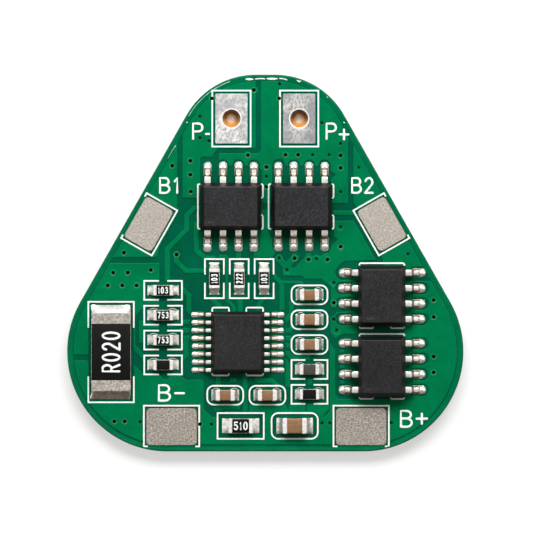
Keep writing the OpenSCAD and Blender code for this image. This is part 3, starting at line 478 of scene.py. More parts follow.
LOOKS = {
    "mask_over_laminate": laminate_look(),
    "mask_over_copper": copper_mask_look(),
    "mask_margin": margin_look(),
    "mask_ring": ring_look(),
    "mask_glint": glint_look(),
    "mask_dish": dish_look(),
    "legend_ink": ink_look(),
    "package_black": moulding_look(),
    "pad_tin": pad_look(),
    # Near-white, nearly matt tin for the bead round the terminal holes: a painted highlight.
    "highlit_rim_tin": tin_look("highlit_rim_tin", srgb(214, 214, 212), srgb(252, 252, 250), 6.0, (0.5, 0.6), 0.01, metallic=0.1,
                        specular=0.3),
    "terminal_tin": terminal_look(),
    "lead_tin": tin_look("lead_tin", srgb(196, 190, 180), srgb(246, 243, 236), 3.5, (0.26, 0.42), 0.012,
                         metallic=0.7, shade_top=0.87),
    "fine_lead_tin": tin_look("fine_lead_tin", srgb(196, 190, 180), srgb(246, 243, 236), 3.5, (0.26, 0.42), 0.012,
                              metallic=0.7, shade_top=0.56),
    "chip_end_tin": tin_look("chip_end_tin", srgb(196, 192, 186), srgb(246, 245, 243), 6.0, (0.34, 0.55), 0.02,
                             metallic=0.35),
    "shunt_end_tin": tin_look("shunt_end_tin", srgb(124, 117, 108), srgb(206, 199, 190), 5.5, (0.42, 0.6), 0.025,
                              metallic=0.35, specular=0.3),
    "solder": tin_look("solder", srgb(214, 209, 201), srgb(252, 250, 246), 2.0, (0.15, 0.28), 0.004,
                       metallic=0.62),
    # Darker copy of the solder: painted shade on the steep side fillets of the feet.
    "shaded_foot_solder": tin_look("shaded_foot_solder", srgb(100, 88, 66), srgb(166, 152, 128), 3.0, (0.30, 0.45), 0.010,
                            metallic=0.5),
    "fillet_tin": tin_look("fillet_tin", srgb(150, 145, 137), srgb(222, 218, 211), 3.5, (0.28, 0.42), 0.015,
                           metallic=0.65),
    "bright_fillet_tin": tin_look("bright_fillet_tin", srgb(180, 175, 167), srgb(240, 237, 231), 3.5, (0.28, 0.42),
                                  0.012, metallic=0.5),
    "shunt_fillet_tin": tin_look("shunt_fillet_tin", srgb(190, 182, 172), srgb(248, 246, 242), 3.0, (0.16, 0.30),
                                 0.015, metallic=0.95),
    "ear_tin": tin_look("ear_tin", srgb(190, 184, 174), srgb(242, 239, 233), 6.0, (0.22, 0.4), 0.01, metallic=0.5),
    "overcoat_black": overcoat_look("overcoat_black", srgb(10, 10, 10), srgb(22, 22, 21)),
    "grey_ceramic": overcoat_look("grey_ceramic", srgb(60, 58, 55), srgb(82, 79, 75)),
    "alumina": alumina_look(),
    "tan_ceramic": tan_look(),
    "hole_lining": lining_look(),
    "via_slope": via_look(),
    "via_shade_plug": via_shade_plug_look(),
}


def dress_nodes():
    """Gives every CAD node the look of its material slot."""
    for entry in frame["record"]["subparts"]:
        node = NODES[entry["node"]]
        node.data.materials.clear()
        node.data.materials.append(LOOKS[entry["material_slot"]])


# Mesh pieces


def piece(name, bm, look, replaced=(), sharp=SHARP_ANGLE):
    """Turns a bmesh in millimetres into a piece that rides on the board."""
    bmesh.ops.scale(bm, vec=(MM,) * 3, verts=bm.verts)
    mesh = bpy.data.meshes.new(name)
    bm.to_mesh(mesh)
    bm.free()
    for face in mesh.polygons:
        face.use_smooth = True
    mesh.set_sharp_from_angle(angle=math.radians(sharp))
    mesh.materials.append(LOOKS[look])
    obj = bpy.data.objects.new(name, mesh)
    bpy.context.scene.collection.objects.link(obj)
    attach(obj, "root")
    if replaced:
        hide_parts(*replaced)
    return obj


def add_block(bm, low, high, radius, segments=3):
    """Adds a block with rounded edges between two corners."""
    size = [h - l for l, h in zip(low, high)]
    middle = [(l + h) / 2 for l, h in zip(low, high)]
    made = bmesh.ops.create_cube(bm, size=1.0)
    verts = made["verts"]
    bmesh.ops.scale(bm, vec=size, verts=verts)
    bmesh.ops.translate(bm, vec=middle, verts=verts)
    edges = list({e for v in verts for e in v.link_edges})
    bmesh.ops.bevel(bm, geom=edges, offset=radius, segments=segments, profile=0.5, affect="EDGES", clamp_overlap=True)


def node_box(node):
    low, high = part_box(node)
    return [c / MM for c in low], [c / MM for c in high]


def long_axis(low, high):
    return 0 if high[0] - low[0] > high[1] - low[1] else 1


def cap_outline(low, high, axis, end, band, corner, inset):
    """Plan of one metal end: square where it meets the body, rounded at its outer corners."""
    way = 1 if end else -1
    outer = (high[axis] if end else low[axis]) - way * inset
    inner = (high[axis] if end else low[axis]) - way * (band - min(inset, 0.02))
    across = 1 - axis
    radius = max(corner - inset, 0.01)
    points = []
    for side in (-1, 1):
        edge = (high[across] if side > 0 else low[across]) - side * inset
        arcs = [(outer - way * radius * (1 - math.sin(t)), edge - side * radius * (1 - math.cos(t)))
                for t in steps(0, math.pi / 2, 5)]
        points += [(inner, edge)] + arcs if side < 0 else arcs[::-1] + [(inner, edge)]
    return [p if axis == 0 else (p[1], p[0]) for p in points]


def rounding(radius, count=4):
    """(inset, drop) pairs that round off an upper edge, with a last loop on the flat."""
    arc_steps = steps(0, math.pi / 2, count)
    return [(radius * (1 - math.cos(t)), radius * (1 - math.sin(t))) for t in arc_steps] + [(radius + 0.015, 0.0)]


def loft(bm, loops, close_low=True, close_high=True):
    """Skin through loops of points, closed at its ends."""
    rings = [[bm.verts.new(p) for p in loop] for loop in loops]
    made = []
    for low, high in zip(rings, rings[1:]):
        for k in range(len(low)):
            n = (k + 1) % len(low)
            made.append(bm.faces.new((low[k], low[n], high[n], high[k])))
    if close_low:
        made.append(bm.faces.new(rings[0][::-1]))
    if close_high:
        made.append(bm.faces.new(rings[-1]))
    bmesh.ops.recalc_face_normals(bm, faces=made)


def round_ends(node, band, corner, edge, look):
    """The two metal ends of a chip as rounded caps."""
    low, high = node_box(node)
    axis = long_axis(low, high)
    bm = bmesh.new()
    for end in (0, 1):
        loops = []
        for inset, drop in [(0.0, high[2] - low[2])] + rounding(edge):
            plan = cap_outline(low, high, axis, end, band, corner, inset)
            loops.append([(x, y, high[2] - drop) for x, y in plan])
        loft(bm, loops)
    piece(node.replace("_ends", "_caps"), bm, look, [node])


def round_body(node, radius, look):
    low, high = node_box(node)
    bm = bmesh.new()
    add_block(bm, low, high, radius)
    piece(node.replace("_body", "_block"), bm, look, [node])


def printed_body(node, band, border, look):
    """Ceramic block with an overcoat that leaves a thin border free at its long sides."""
    low, high = node_box(node)
    axis = long_axis(low, high)
    block = bmesh.new()
    add_block(block, low, high[:2] + [high[2] - END_T - OVERCOAT_T], 0.01)
    piece(node.replace("_body", "_block"), block, "alumina", [node])
    a, b = list(low), list(high)
    across = 1 - axis
    a[axis], b[axis] = low[axis] + band - END_T, high[axis] - band + END_T
    a[across], b[across] = low[across] + border, high[across] - border
    a[2] = high[2] - END_T - OVERCOAT_T - 0.01
    coat = bmesh.new()
    add_block(coat, a, b, 0.015)
    piece(node.replace("_body", "_coat"), coat, look)


def make_capacitors():
    for i in range(1, 7):
        band = LARGE_CAPACITOR_BAND if i == 6 else CAPACITOR_BAND
        round_body(f"capacitor_{i}_body", 0.04, "tan_ceramic")
        round_ends(f"capacitor_{i}_ends", band, 0.12, 0.08, "chip_end_tin")


def make_resistors():
    for i in range(1, 10):
        band = LARGE_END_BAND if i == 9 else END_BAND
        printed_body(f"resistor_{i}_body", band, 0.05, "overcoat_black")
        round_ends(f"resistor_{i}_ends", band, 0.06, 0.04, "chip_end_tin")
    printed_body("grey_chip_body", GREY_BAND, 0.03, "grey_ceramic")
    round_ends("grey_chip_ends", GREY_BAND, 0.06, 0.04, "chip_end_tin")
    printed_body("shunt_body", SHUNT_BAND, 0.03, "overcoat_black")
    round_ends("shunt_ends", SHUNT_BAND, 0.2, 0.05, "shunt_end_tin")


# Packages and leads


def rounded_plan(middle, half, inset, corner, along=6):
    """Rounded rectangle with extra points along its sides."""
    w, h = half[0] - inset, half[1] - inset
    points = []
    for sx, sy, start in ((1, 1, 0), (-1, 1, 90), (-1, -1, 180), (1, -1, 270)):
        for a in steps(start, start + 90, 4):
            t = math.radians(a)
            points.append((sx * (w - corner) + corner * math.cos(t), sy * (h - corner) + corner * math.sin(t)))
        nx, ny = ((-1, 1), (-1, -1), (1, -1), (1, 1))[(start // 90)]
        t = math.radians(start + 90)
        a = points[-1]
        b = (nx * (w - corner) + corner * math.cos(t), ny * (h - corner) + corner * math.sin(t))
        points += [(a[0] + (b[0] - a[0]) * k / along, a[1] + (b[1] - a[1]) * k / along) for k in range(1, along)]
    return [(middle[0] + x, middle[1] + y) for x, y in points]


def moulded_package(node, lead_z, lead_t, draft, corner):
    """Moulded body: sloping flanks, a parting band, soft upper edges and a dished mark."""
    low, high = node_box(node)
    middle = [(a + b) / 2 for a, b in zip(low, high)]
    half = [(high[0] - low[0]) / 2, (high[1] - low[1]) / 2]
    band = (LAND_Z + lead_z - lead_t / 2, LAND_Z + lead_z + lead_t / 2)
    soft, top = 0.05, high[2]
    levels = [(draft[0], low[2]), (0.0, band[0]), (0.0, band[1])]
    levels += [(draft[1] - 0.012 + inset, top - drop) for inset, drop in rounding(soft)]
    loops = [[(x, y, z) for x, y in rounded_plan(middle, half, inset, 0.06)] for inset, z in levels]
    mark = (middle[0] + corner[0] * (half[0] - DIMPLE_INSET), middle[1] + corner[1] * (half[1] - DIMPLE_INSET))
    for share, drop in ((1.06, 0.0), (1.0, 0.003), (0.93, 0.010), (0.8, 0.016), (0.5, 0.018), (0.2, 0.018)):
        ring = []
        for x, y, z in loops[len(levels) - 1]:
            a = math.atan2(y - mark[1], x - mark[0])
            ring.append((mark[0] + DIMPLE_R * share * math.cos(a), mark[1] + DIMPLE_R * share * math.sin(a),
                         top - drop))
        loops.append(ring)
    bm = bmesh.new()
    loft(bm, loops)
    piece(node.replace("_body", "_package"), bm, "package_black", [node])


def make_packages():
    for i in range(1, 5):
        moulded_package(f"mosfet_{i}_body", MOSFET_LEAD_Z, MOSFET_LEAD_T, MOSFET_DRAFT, (-1, -1))
    moulded_package("controller_body", CONTROLLER_LEAD_Z, CONTROLLER_LEAD_T, CONTROLLER_DRAFT, (-1, 1))


# Solder


def add_sheet(bm, height, us, vs, put):
    """Adds a skin over a grid. put(u, v, z) gives the place of a grid point."""
    rows = [[bm.verts.new(put(u, v, height(u, v))) for v in vs] for u in us]
    for a, b in zip(rows, rows[1:]):
        for k in range(len(vs) - 1):
            bm.faces.new((a[k], a[k + 1], b[k + 1], b[k]))


def steps(low, high, count):
    return [low + (high - low) * i / count for i in range(count + 1)]


def side_put(middle, turn, side, offset):
    """Place of a point of one lead: u runs out from the body, v across the lead."""
    spin = Matrix.Rotation(turn, 2)

    def put(u, v, z):
        flat = spin @ (side * Vector((u, v + side * offset)))
        return (middle[0] + flat.x, middle[1] + flat.y, z)
    return put


def smoothed(points, rounds=3):
    """Cuts the corners of an open line several times, with its ends kept."""
    for _ in range(rounds):
        cut = [points[0]]
        for a, b in zip(points, points[1:]):
            cut.append((a[0] * 0.75 + b[0] * 0.25, a[1] * 0.75 + b[1] * 0.25))
            cut.append((a[0] * 0.25 + b[0] * 0.75, a[1] * 0.25 + b[1] * 0.75))
        points = cut + [points[-1]]
    return points


def add_lead(bm, put, wall, shoulder, foot, tip, lead_z, lead_t, lead_w):
    """One formed lead: a strip with soft edges along a smooth path."""
    line = [(wall - 0.05, lead_z), (wall + shoulder * 0.45, lead_z), (wall + shoulder * 0.95, lead_z - 0.015),
            (wall + shoulder + 0.02, lead_z * 0.62), (tip - foot - 0.03, lead_z * 0.36),
            (tip - foot + 0.02, lead_t / 2 + 0.012), (tip - foot * 0.5, lead_t / 2), (tip, lead_t / 2)]
    path = smoothed(line)
    soft = lead_t * 0.3
    section = []
    for cv, cn, start in ((1, 1, 0), (-1, 1, 90), (-1, -1, 180), (1, -1, 270)):
        for a in steps(start, start + 90, 3):
            t = math.radians(a)
            section.append((cv * (lead_w / 2 - soft) + soft * math.cos(t),
                            cn * (lead_t / 2 - soft) + soft * math.sin(t)))
    loops = []
    for k, (u, z) in enumerate(path):
        a, b = path[max(k - 1, 0)], path[min(k + 1, len(path) - 1)]
        lean = math.atan2(b[1] - a[1], b[0] - a[0])
        down = min(1.0, max(0.0, (u - wall - shoulder * 0.95) / (shoulder * 0.3)))
        slim = 1 - FOOT_SLIM * down
        loops.append([put(u - n * math.sin(lean), v * slim, LAND_Z + z + n * math.cos(lean)) for v, n in section])
    loft(bm, loops)


def bead_height(u, y, tip, outer, half_w, ball):
    """Bead beyond the tip of a lead: steep at the tip, then a round fall to the land's end."""
    crest = tip + (outer - tip) * 0.28
    run = (crest - tip) * 1.25 if u < crest else outer - crest
    inside = 1 - ((u - crest) / run) ** 2 - (y / half_w) ** 2
    return ball * max(0.0, inside) ** 0.62


def fillet_height(u, y, inner, tip, half_w, lead_half, lead_t):
    """Solder along both sides of a foot, in a darker solder that is painted shade."""
    edge = min(1.0, max(0.0, (abs(y) - lead_half) / (half_w - lead_half)))
    beside = lead_t * 0.8 * (1 - edge) ** 1.6
    if u > tip:
        beside *= max(0.0, 1 - (u - tip) / 0.12)
    return beside * min(1.0, (u - inner + 0.05) / 0.1)


def lead_solder(bm, sides, middle, turn, pitch, count, span, foot, reach, width, lead_w, lead_t, ball, rng):
    """Beads (bm) and side fillets (sides) of all leads of one package."""
    inner, tip, outer = span / 2 - foot, span / 2, span / 2 + reach
    half_w = width / 2
    vs = [math.sin(math.pi / 2 * t) for t in steps(-1, 1, 20)]
    for side in (1, -1):
        for k in range(count):
            place = side_put(middle, turn, side, (k - (count - 1) / 2) * pitch)
            full = ball * rng.uniform(0.85, 1.1)
            end = outer + reach * rng.uniform(-0.10, 0.04)
            lean = rng.uniform(-0.03, 0.03)

            def width_at(u, end=end):
                cap = max(0.0, u - (end - half_w)) / half_w
                return half_w * math.sqrt(max(0.0, 1 - min(cap, 1.0) ** 2))

            def bead(u, v, full=full, lean=lean, end=end):
                y = v * width_at(u)
                return LAND_Z + 0.003 + bead_height(u, y + lean * half_w, tip, end, half_w, full)

            def beside(u, v):
                return LAND_Z + 0.002 + fillet_height(u, v * half_w, inner, tip, half_w, lead_w / 2, lead_t)

            def put(u, v, z, place=place):
                return place(u, v * width_at(u), z)
            add_sheet(bm, bead, steps(tip - 0.04, end - 0.001, 26), vs, put)
            add_sheet(sides, beside, steps(inner - 0.02, tip + 0.12, 10), vs, put)


def make_leads():
    """Leads and solder of the transistors and the controller."""
    rng = random.Random(7)
    beads, sides = bmesh.new(), bmesh.new()
    for i in range(1, 5):
        low, high = node_box(f"mosfet_{i}_body")
        middle = [(a + b) / 2 for a, b in zip(low, high)]
        turn = math.pi / 2 if i < 3 else 0.0
        reach, width = UPPER_BEAD if i < 3 else LOWER_BEAD
        leads = bmesh.new()
        for side in (1, -1):
            for k in range(MOSFET_LEADS):
                place = side_put(middle, turn, side, (k - (MOSFET_LEADS - 1) / 2) * MOSFET_PITCH)
                add_lead(leads, place, MOSFET_W / 2, MOSFET_SHOULDER, MOSFET_FOOT, MOSFET_SPAN / 2,
                         MOSFET_LEAD_Z, MOSFET_LEAD_T, MOSFET_LEAD_W)
        piece(f"mosfet_{i}_formed_leads", leads, "lead_tin", [f"mosfet_{i}_leads"])
        lead_solder(beads, sides, middle, turn, MOSFET_PITCH, MOSFET_LEADS, MOSFET_SPAN, MOSFET_FOOT,
                    reach, width, MOSFET_LEAD_W * (1 - FOOT_SLIM), MOSFET_LEAD_T, 0.29, rng)
    piece("solder_blobs_mosfets", beads, "solder", ["solder_mosfets"], SOLDER_ANGLE)
    piece("foot_fillets_mosfets", sides, "shaded_foot_solder")
    low, high = node_box("controller_body")
    middle = [(a + b) / 2 for a, b in zip(low, high)]
    leads = bmesh.new()
    for side in (1, -1):
        for k in range(CONTROLLER_LEADS):
            place = side_put(middle, 0.0, side, (k - (CONTROLLER_LEADS - 1) / 2) * CONTROLLER_PITCH)
            add_lead(leads, place, CONTROLLER_W / 2, CONTROLLER_SHOULDER, CONTROLLER_FOOT, CONTROLLER_SPAN / 2,
                     CONTROLLER_LEAD_Z, CONTROLLER_LEAD_T, CONTROLLER_LEAD_W)
    piece("controller_formed_leads", leads, "fine_lead_tin", ["controller_leads"])
    beads, sides = bmesh.new(), bmesh.new()
    lead_solder(beads, sides, middle, 0.0, CONTROLLER_PITCH, CONTROLLER_LEADS, CONTROLLER_SPAN, CONTROLLER_FOOT,
                CONTROLLER_LAND_REACH, CONTROLLER_LAND_W, CONTROLLER_LEAD_W * (1 - FOOT_SLIM), CONTROLLER_LEAD_T,
                0.17, rng)
    piece("solder_blobs_controller", beads, "solder", ["solder_controller"], SOLDER_ANGLE)
    piece("foot_fillets_controller", sides, "shaded_foot_solder")


def add_ears(bm, place, outer, half_w, rng):
    """Tinned corners of a land, left as small mounds beside the fillet."""
    for way in (-1, 1):
        radius = EAR_R * rng.uniform(0.8, 1.15)
        rings = []
        for share, drop in ((1.0, 1.0), (0.85, 0.5), (0.55, 0.15), (0.2, 0.0)):
            z = LAND_Z + EAR_HIGH * (1 - drop)
            rings.append([place(outer - EAR_R + radius * share * math.cos(t),
                                way * (half_w - EAR_R - EAR_INSET) + radius * share * math.sin(t), z)
                          for t in steps(0, 2 * math.pi * 11 / 12, 11)])
        loft(bm, rings, close_low=False)


def chip_fillets(bm, coats, node, rng, climb_share=0.78, sag=2.0, waists=(0.30, 0.42)):
    """Hollow fillets at the two ends of a chip, between the ears of its tinned lands."""
    low, high = node_box(node)
    reach = REACHES[node.replace("_ends", "")]
    axis = long_axis(low, high)
    across = 1 - axis
    middle = [(low[0] + high[0]) / 2, (low[1] + high[1]) / 2]
    half_l = (high[axis] - low[axis]) / 2
    half_w = (high[across] - low[across]) / 2 + 0.02
    for side in (1, -1):
        climb = (high[2] - low[2]) * climb_share * rng.uniform(0.9, 1.05)
        lean = rng.uniform(-0.10, 0.10)
        waist = rng.uniform(*waists)

        def place(u, across_at, z, side=side):
            point = [0.0, 0.0]
            point[axis] = middle[axis] + side * u
            point[across] = middle[across] + across_at
            return (point[0], point[1], z)

        if waists[1] > 0.05:
            add_ears(coats, place, half_l + reach, half_w, rng)

        def outward(u):
            return min(1.0, max(0.0, (u - half_l + 0.03) / (reach - 0.02 + 0.03)))

        def height(u, v, climb=climb):
            out = outward(u)
            span = max(0.0, 1 - abs(v) ** (4.0 - 1.8 * out))
            hump = climb * (1 - out) ** sag * span ** 0.6
            pool = 0.06 * span ** 0.7 * (1 - out ** 3)
            return LAND_Z + 0.004 + hump + pool

        def put(u, v, z, place=place, lean=lean, waist=waist):
            out = outward(u)
            width = half_w * (1 - waist * out ** 1.1) - 0.01
            return place(u, (v + lean * out ** 2) * width, z)
        vs = [math.sin(math.pi / 2 * t) for t in steps(-1, 1, 20)]
        add_sheet(bm, height, steps(half_l - 0.03, half_l + reach - 0.02, 20), vs, put)


def wetting_lines():
    """Thin lines of solder along the +Y edge of the lands, beside the metal ends of the small chips."""
    strokes = []
    names = [f"resistor_{i}_ends" for i in (2, 3, 4, 8)] + [f"capacitor_{i}_ends" for i in range(1, 6)]
    for node in names + ["grey_chip_ends"]:
        low, high = node_box(node)
        reach = REACHES[node.replace("_ends", "")]
        for way in (-1, 1):
            end = high[0] if way > 0 else low[0]
            a = (end + way * (reach - 0.14), high[1] - 0.03)
            b = (end - way * 0.02, high[1] + 0.26)
            c = (end - way * 0.38, high[1] - 0.01)
            strokes.append([tuple(a[k] * (1 - t) ** 2 + 2 * b[k] * t * (1 - t) + c[k] * t ** 2 for k in (0, 1))
                            for t in steps(0, 1, 8)])
    piece("wetting_lines", ink_curve(strokes, 0.045, LAND_Z + 0.012, 0.03), "ear_tin")


def make_chip_solder():
    rng = random.Random(21)
    coats = bmesh.new()
    bm = bmesh.new()
    for i in range(1, 10):
        chip_fillets(bm, coats, f"resistor_{i}_ends", rng, 0.78, 1.5, (0.0, 0.04) if i == 9 else (0.20, 0.31))
    chip_fillets(bm, coats, "grey_chip_ends", rng, 0.7, 1.6, (0.2, 0.3))
    piece("solder_fillets_resistors", bm, "bright_fillet_tin", ["solder_resistors"], SOLDER_ANGLE)
    bm = bmesh.new()
    for i in range(1, 7):
        chip_fillets(bm, coats, f"capacitor_{i}_ends", rng, 0.62, 2.0, (0.0, 0.04) if i == 6 else (0.30, 0.42))
    piece("solder_fillets_capacitors", bm, "fillet_tin", ["solder_capacitors"], SOLDER_ANGLE)
    bm = bmesh.new()
    chip_fillets(bm, coats, "shunt_ends", rng, 0.62, 1.0, (0.0, 0.02))
    piece("solder_fillets_shunt", bm, "shunt_fillet_tin", ["solder_shunt"], SOLDER_ANGLE)
    piece("land_ears", coats, "ear_tin")
    wetting_lines()


# Holes


def add_lathe(bm, middle, profile, count=28):
    """Adds a skin turned about +Z from (radius, z) points."""
    rings = []
    for radius, z in profile:
        ring = []
        for k in range(count):
            a = 2 * math.pi * k / count
            ring.append(bm.verts.new((middle[0] + radius * math.cos(a), middle[1] + radius * math.sin(a), z)))
        rings.append(ring)
    for low, high in zip(rings, rings[1:]):
        for k in range(count):
            n = (k + 1) % count
            bm.faces.new((low[k], low[n], high[n], high[k]))
    return rings


def make_vias():
    """Lips and dark plugs of painted shade in the open vias, shallow dishes of mask in the closed ones."""
    lips, slopes, shade_plugs, dishes = bmesh.new(), bmesh.new(), bmesh.new(), bmesh.new()
    for k, share in enumerate(VIA_SHARES):
        middle = (share[0] * BOARD_W, share[1] * BOARD_H)
        if k in CLOSED_VIAS:
            rim = add_lathe(dishes, middle, [
                (VIA_R + 0.07, LAND_Z - 0.004), (VIA_R + 0.045, LAND_Z + 0.006), (VIA_R + 0.01, LAND_Z - 0.006),
                (VIA_R - 0.03, LAND_Z - 0.034), (VIA_R - 0.08, LAND_Z - 0.045)
            ], 24)
            dishes.faces.new(rim[-1])
            continue
        add_lathe(lips, middle, [
            (VIA_R + 0.14, LAND_Z - 0.005), (VIA_R + 0.11, LAND_Z + 0.010), (VIA_R + 0.08, LAND_Z + 0.014),
            (VIA_R + 0.05, LAND_Z + 0.010)
        ], 24)
        add_lathe(slopes, middle, [(VIA_R + 0.05, LAND_Z + 0.010), (VIA_R - 0.005, LAND_Z - 0.02)], 24)
        # Painted shade: a dark plug closes each open via a little below its mouth.
        rim = add_lathe(shade_plugs, middle, [(VIA_R - 0.005, LAND_Z - 0.02), (VIA_R * 0.7, LAND_Z - 0.3)], 24)
        shade_plugs.faces.new(rim[-1])
    piece("via_lips", lips, "mask_ring")
    piece("via_slopes", slopes, "via_slope")
    piece("via_shade_plugs", shade_plugs, "via_shade_plug")
    piece("via_dishes", dishes, "mask_dish")


def make_linings():
    """Linings of the terminal holes, narrowing downwards so that they show from above."""
    bm = bmesh.new()
    for way in (-1, 1):
        profile = [(TERMINAL_HOLE_R - 0.012, 1.15), (TERMINAL_HOLE_R - 0.04, 1.0), (TERMINAL_HOLE_R - 0.12, 0.75),
                   (TERMINAL_HOLE_R - 0.27, 0.5), (TERMINAL_HOLE_R - 0.46, 0.3), (TERMINAL_HOLE_R - 0.62, 0.16)]
        rim = add_lathe(bm, (way * TERMINAL_X, TERMINAL_Y), profile, 48)
        bm.faces.new(rim[-1])
    piece("terminal_hole_linings", bm, "hole_lining")


def make_rims():
    """Bead of tin round each terminal hole, coloured near white as a painted highlight."""
    bm = bmesh.new()
    profile = [(0.85, PAD_Z - 0.004), (0.83, PAD_Z + 0.010), (0.80, PAD_Z + 0.016), (0.77, PAD_Z + 0.010),
               (0.745, PAD_Z - 0.01), (0.735, PAD_Z - 0.06)]
    for way in (-1, 1):
        add_lathe(bm, (way * TERMINAL_X, TERMINAL_Y), profile, 64)
    piece("terminal_hole_rims", bm, "highlit_rim_tin")


def board_outline(inset, count=40):
    """Points round the board, moved inwards."""
    lower = (BOARD_W / 2 - CORNER_R, CORNER_R - BOARD_H / 2)
    apex = (APEX_FLAT / 2, BOARD_H / 2 - APEX_R)
    run = (apex[0] - lower[0], apex[1] - lower[1])
    slope = math.atan2(run[1], run[0]) + math.asin((CORNER_R - APEX_R) / math.hypot(*run)) - math.pi / 2
    right = []
    for centre, radius, start, end in ((lower, CORNER_R, -math.pi / 2, slope), (apex, APEX_R, slope, math.pi / 2)):
        for a in steps(start, end, count):
            right.append((centre[0] + (radius - inset) * math.cos(a), centre[1] + (radius - inset) * math.sin(a)))
    return right + [(-x, y) for x, y in reversed(right)]


def make_margin():
    """Bare margin of the mask between the copper and the board edge, rounded off at the edge."""
    bm = bmesh.new()
    levels = [(COPPER_INSET - 0.09, BOARD_T + 0.001), (COPPER_INSET - 0.14, BOARD_T + 0.006), (0.18, BOARD_T + 0.006),
              (0.155, BOARD_T + 0.020), (0.125, BOARD_T + 0.020), (0.10, BOARD_T + 0.004), (0.035, BOARD_T + 0.001),
              (0.012, BOARD_T - 0.02)]
    loops = [[bm.verts.new((x, y, z)) for x, y in board_outline(inset)] for inset, z in levels]
    for inner, outer in zip(loops, loops[1:]):
        for k in range(len(inner)):
            n = (k + 1) % len(inner)
            bm.faces.new((inner[k], inner[n], outer[n], outer[k]))
    bmesh.ops.recalc_face_normals(bm, faces=bm.faces)
    piece("board_margin", bm, "mask_margin")


def make_flecks():
    """Stray ink at the top edge of the board and beside the terminals, and thin pale lines of painted highlight along
    a copper edge and the board's rim.
    """
    scuffs = [((246.0, 79.3), (249.5, 79.9), (253.0, 79.3)), ((246.8, 78.7), (251.6, 78.7)),
              ((255.4, 79.0), (260.5, 78.5), (264.6, 78.9)), ((267.0, 78.6), (272.0, 78.2), (277.0, 78.7)),
              ((268.6, 79.2), (275.2, 79.3)), ((279.8, 78.4), (284.6, 79.0), (286.8, 79.8)),
              ((297.4, 80.4), (299.4, 81.8))]
    dots = [((186.6, 122.6), (187.6, 122.2)), ((326.8, 96.6), (327.6, 97.4)), ((343.6, 122.2), (344.6, 122.9)),
            ((299.6, 80.7), (300.8, 81.2))]
    # Painted highlights: pale lines along a copper edge and, below, along the rim of the board.
    glints = [((175.8, 145.5), (172.0, 151.2), (168.0, 158.0))]
    rim = [p for p in board_outline(0.2, 80) if -6.7 < p[0] < -2.9 and p[1] > 0]
    bm = ink_curve([[tuple(on_photo(*p)) for p in stroke] for stroke in glints] + [rim], 0.055, BOARD_T + 0.012, 0.02)
    piece("edge_glints", bm, "mask_glint")
    for name, strokes, width in (("edge_scuffs", scuffs, 0.09), ("ink_dots", dots, 0.07)):
        lines = [[tuple(on_photo(*p)) for p in stroke] for stroke in strokes]
        piece(name, ink_curve(lines, width, BOARD_T + 0.012, 0.02), "legend_ink")


# Lettering: terminal signs and plain number codes, drawn as ink strokes


def arc(cx, cy, rx, ry, start, end, count=9):
    points = []
    for i in range(count + 1):
        a = math.radians(start + (end - start) * i / count)
        points.append((cx + rx * math.cos(a), cy + ry * math.sin(a)))
    return points


# Strokes in a box one unit wide and one high
GLYPHS = {
    "P": [[(0, 0), (0, 1), (0.5, 1), *arc(0.55, 0.74, 0.45, 0.26, 90, -90), (0, 0.48)]],
    "B": [[(0, 0), (0, 1), (0.5, 1), *arc(0.52, 0.76, 0.4, 0.24, 90, -90), (0.02, 0.52)],
          [(0.5, 0.52), *arc(0.52, 0.26, 0.48, 0.26, 90, -90), (0, 0)]],
    "R": [[(0, 0), (0, 1), (0.5, 1), *arc(0.52, 0.74, 0.45, 0.26, 90, -90), (0, 0.48)], [(0.5, 0.48), (1, 0)]],
    "0": [arc(0.5, 0.5, 0.5, 0.5, 90, 450, 20)],
    "1": [[(0.15, 0.78), (0.6, 1), (0.6, 0)]],
    "2": [[*arc(0.5, 0.72, 0.46, 0.28, 165, -25), (0, 0)], [(0, 0), (1, 0)]],
    "3": [[*arc(0.45, 0.76, 0.43, 0.24, 150, -90)], [*arc(0.45, 0.26, 0.5, 0.26, 90, -150)]],
    "5": [[(0.9, 1), (0.12, 1), (0.06, 0.54), *arc(0.48, 0.32, 0.48, 0.32, 125, -150)]],
    "7": [[(0, 1), (1, 1), (0.4, 0)]],
    "+": [[(0, 0.5), (1, 0.5)], [(0.5, 0), (0.5, 1)]],
    "-": [[(0, 0.5), (1, 0.5)]],
}


def ink_curve(strokes, width, z, thickness):
    """Mesh of round-ended strokes, given in millimetres."""
    curve = bpy.data.curves.new("ink", "CURVE")
    curve.dimensions = "3D"
    curve.bevel_depth = width / 2
    curve.bevel_resolution = 2
    for stroke in strokes:
        a, b = Vector(stroke[0]), Vector(stroke[1])
        c, d = Vector(stroke[-1]), Vector(stroke[-2])
        lead = (b - a).normalized() * width / 2
        tail = (d - c).normalized() * width / 2
        points = [(a - lead * 0.9, 0.3), (a - lead * 0.6, 0.75), (a, 1.0)]
        points += [(Vector(p), 1.0) for p in stroke[1:-1]]
        points += [(c, 1.0), (c - tail * 0.6, 0.75), (c - tail * 0.9, 0.3)]
        spline = curve.splines.new("POLY")
        spline.points.add(len(points) - 1)
        for target, (place, radius) in zip(spline.points, points):
            target.co = (place.x, place.y, 0.0, 1.0)
            target.radius = radius
    obj = bpy.data.objects.new("ink", curve)
    bpy.context.scene.collection.objects.link(obj)
    mesh = bpy.data.meshes.new_from_object(obj.evaluated_get(bpy.context.evaluated_depsgraph_get()))
    bpy.data.objects.remove(obj)
    bpy.data.curves.remove(curve)
    bm = bmesh.new()
    bm.from_mesh(mesh)
    bpy.data.meshes.remove(mesh)
    bmesh.ops.scale(bm, vec=(1, 1, thickness / width), verts=bm.verts)
    bmesh.ops.translate(bm, vec=(0, 0, z), verts=bm.verts)
    return bm


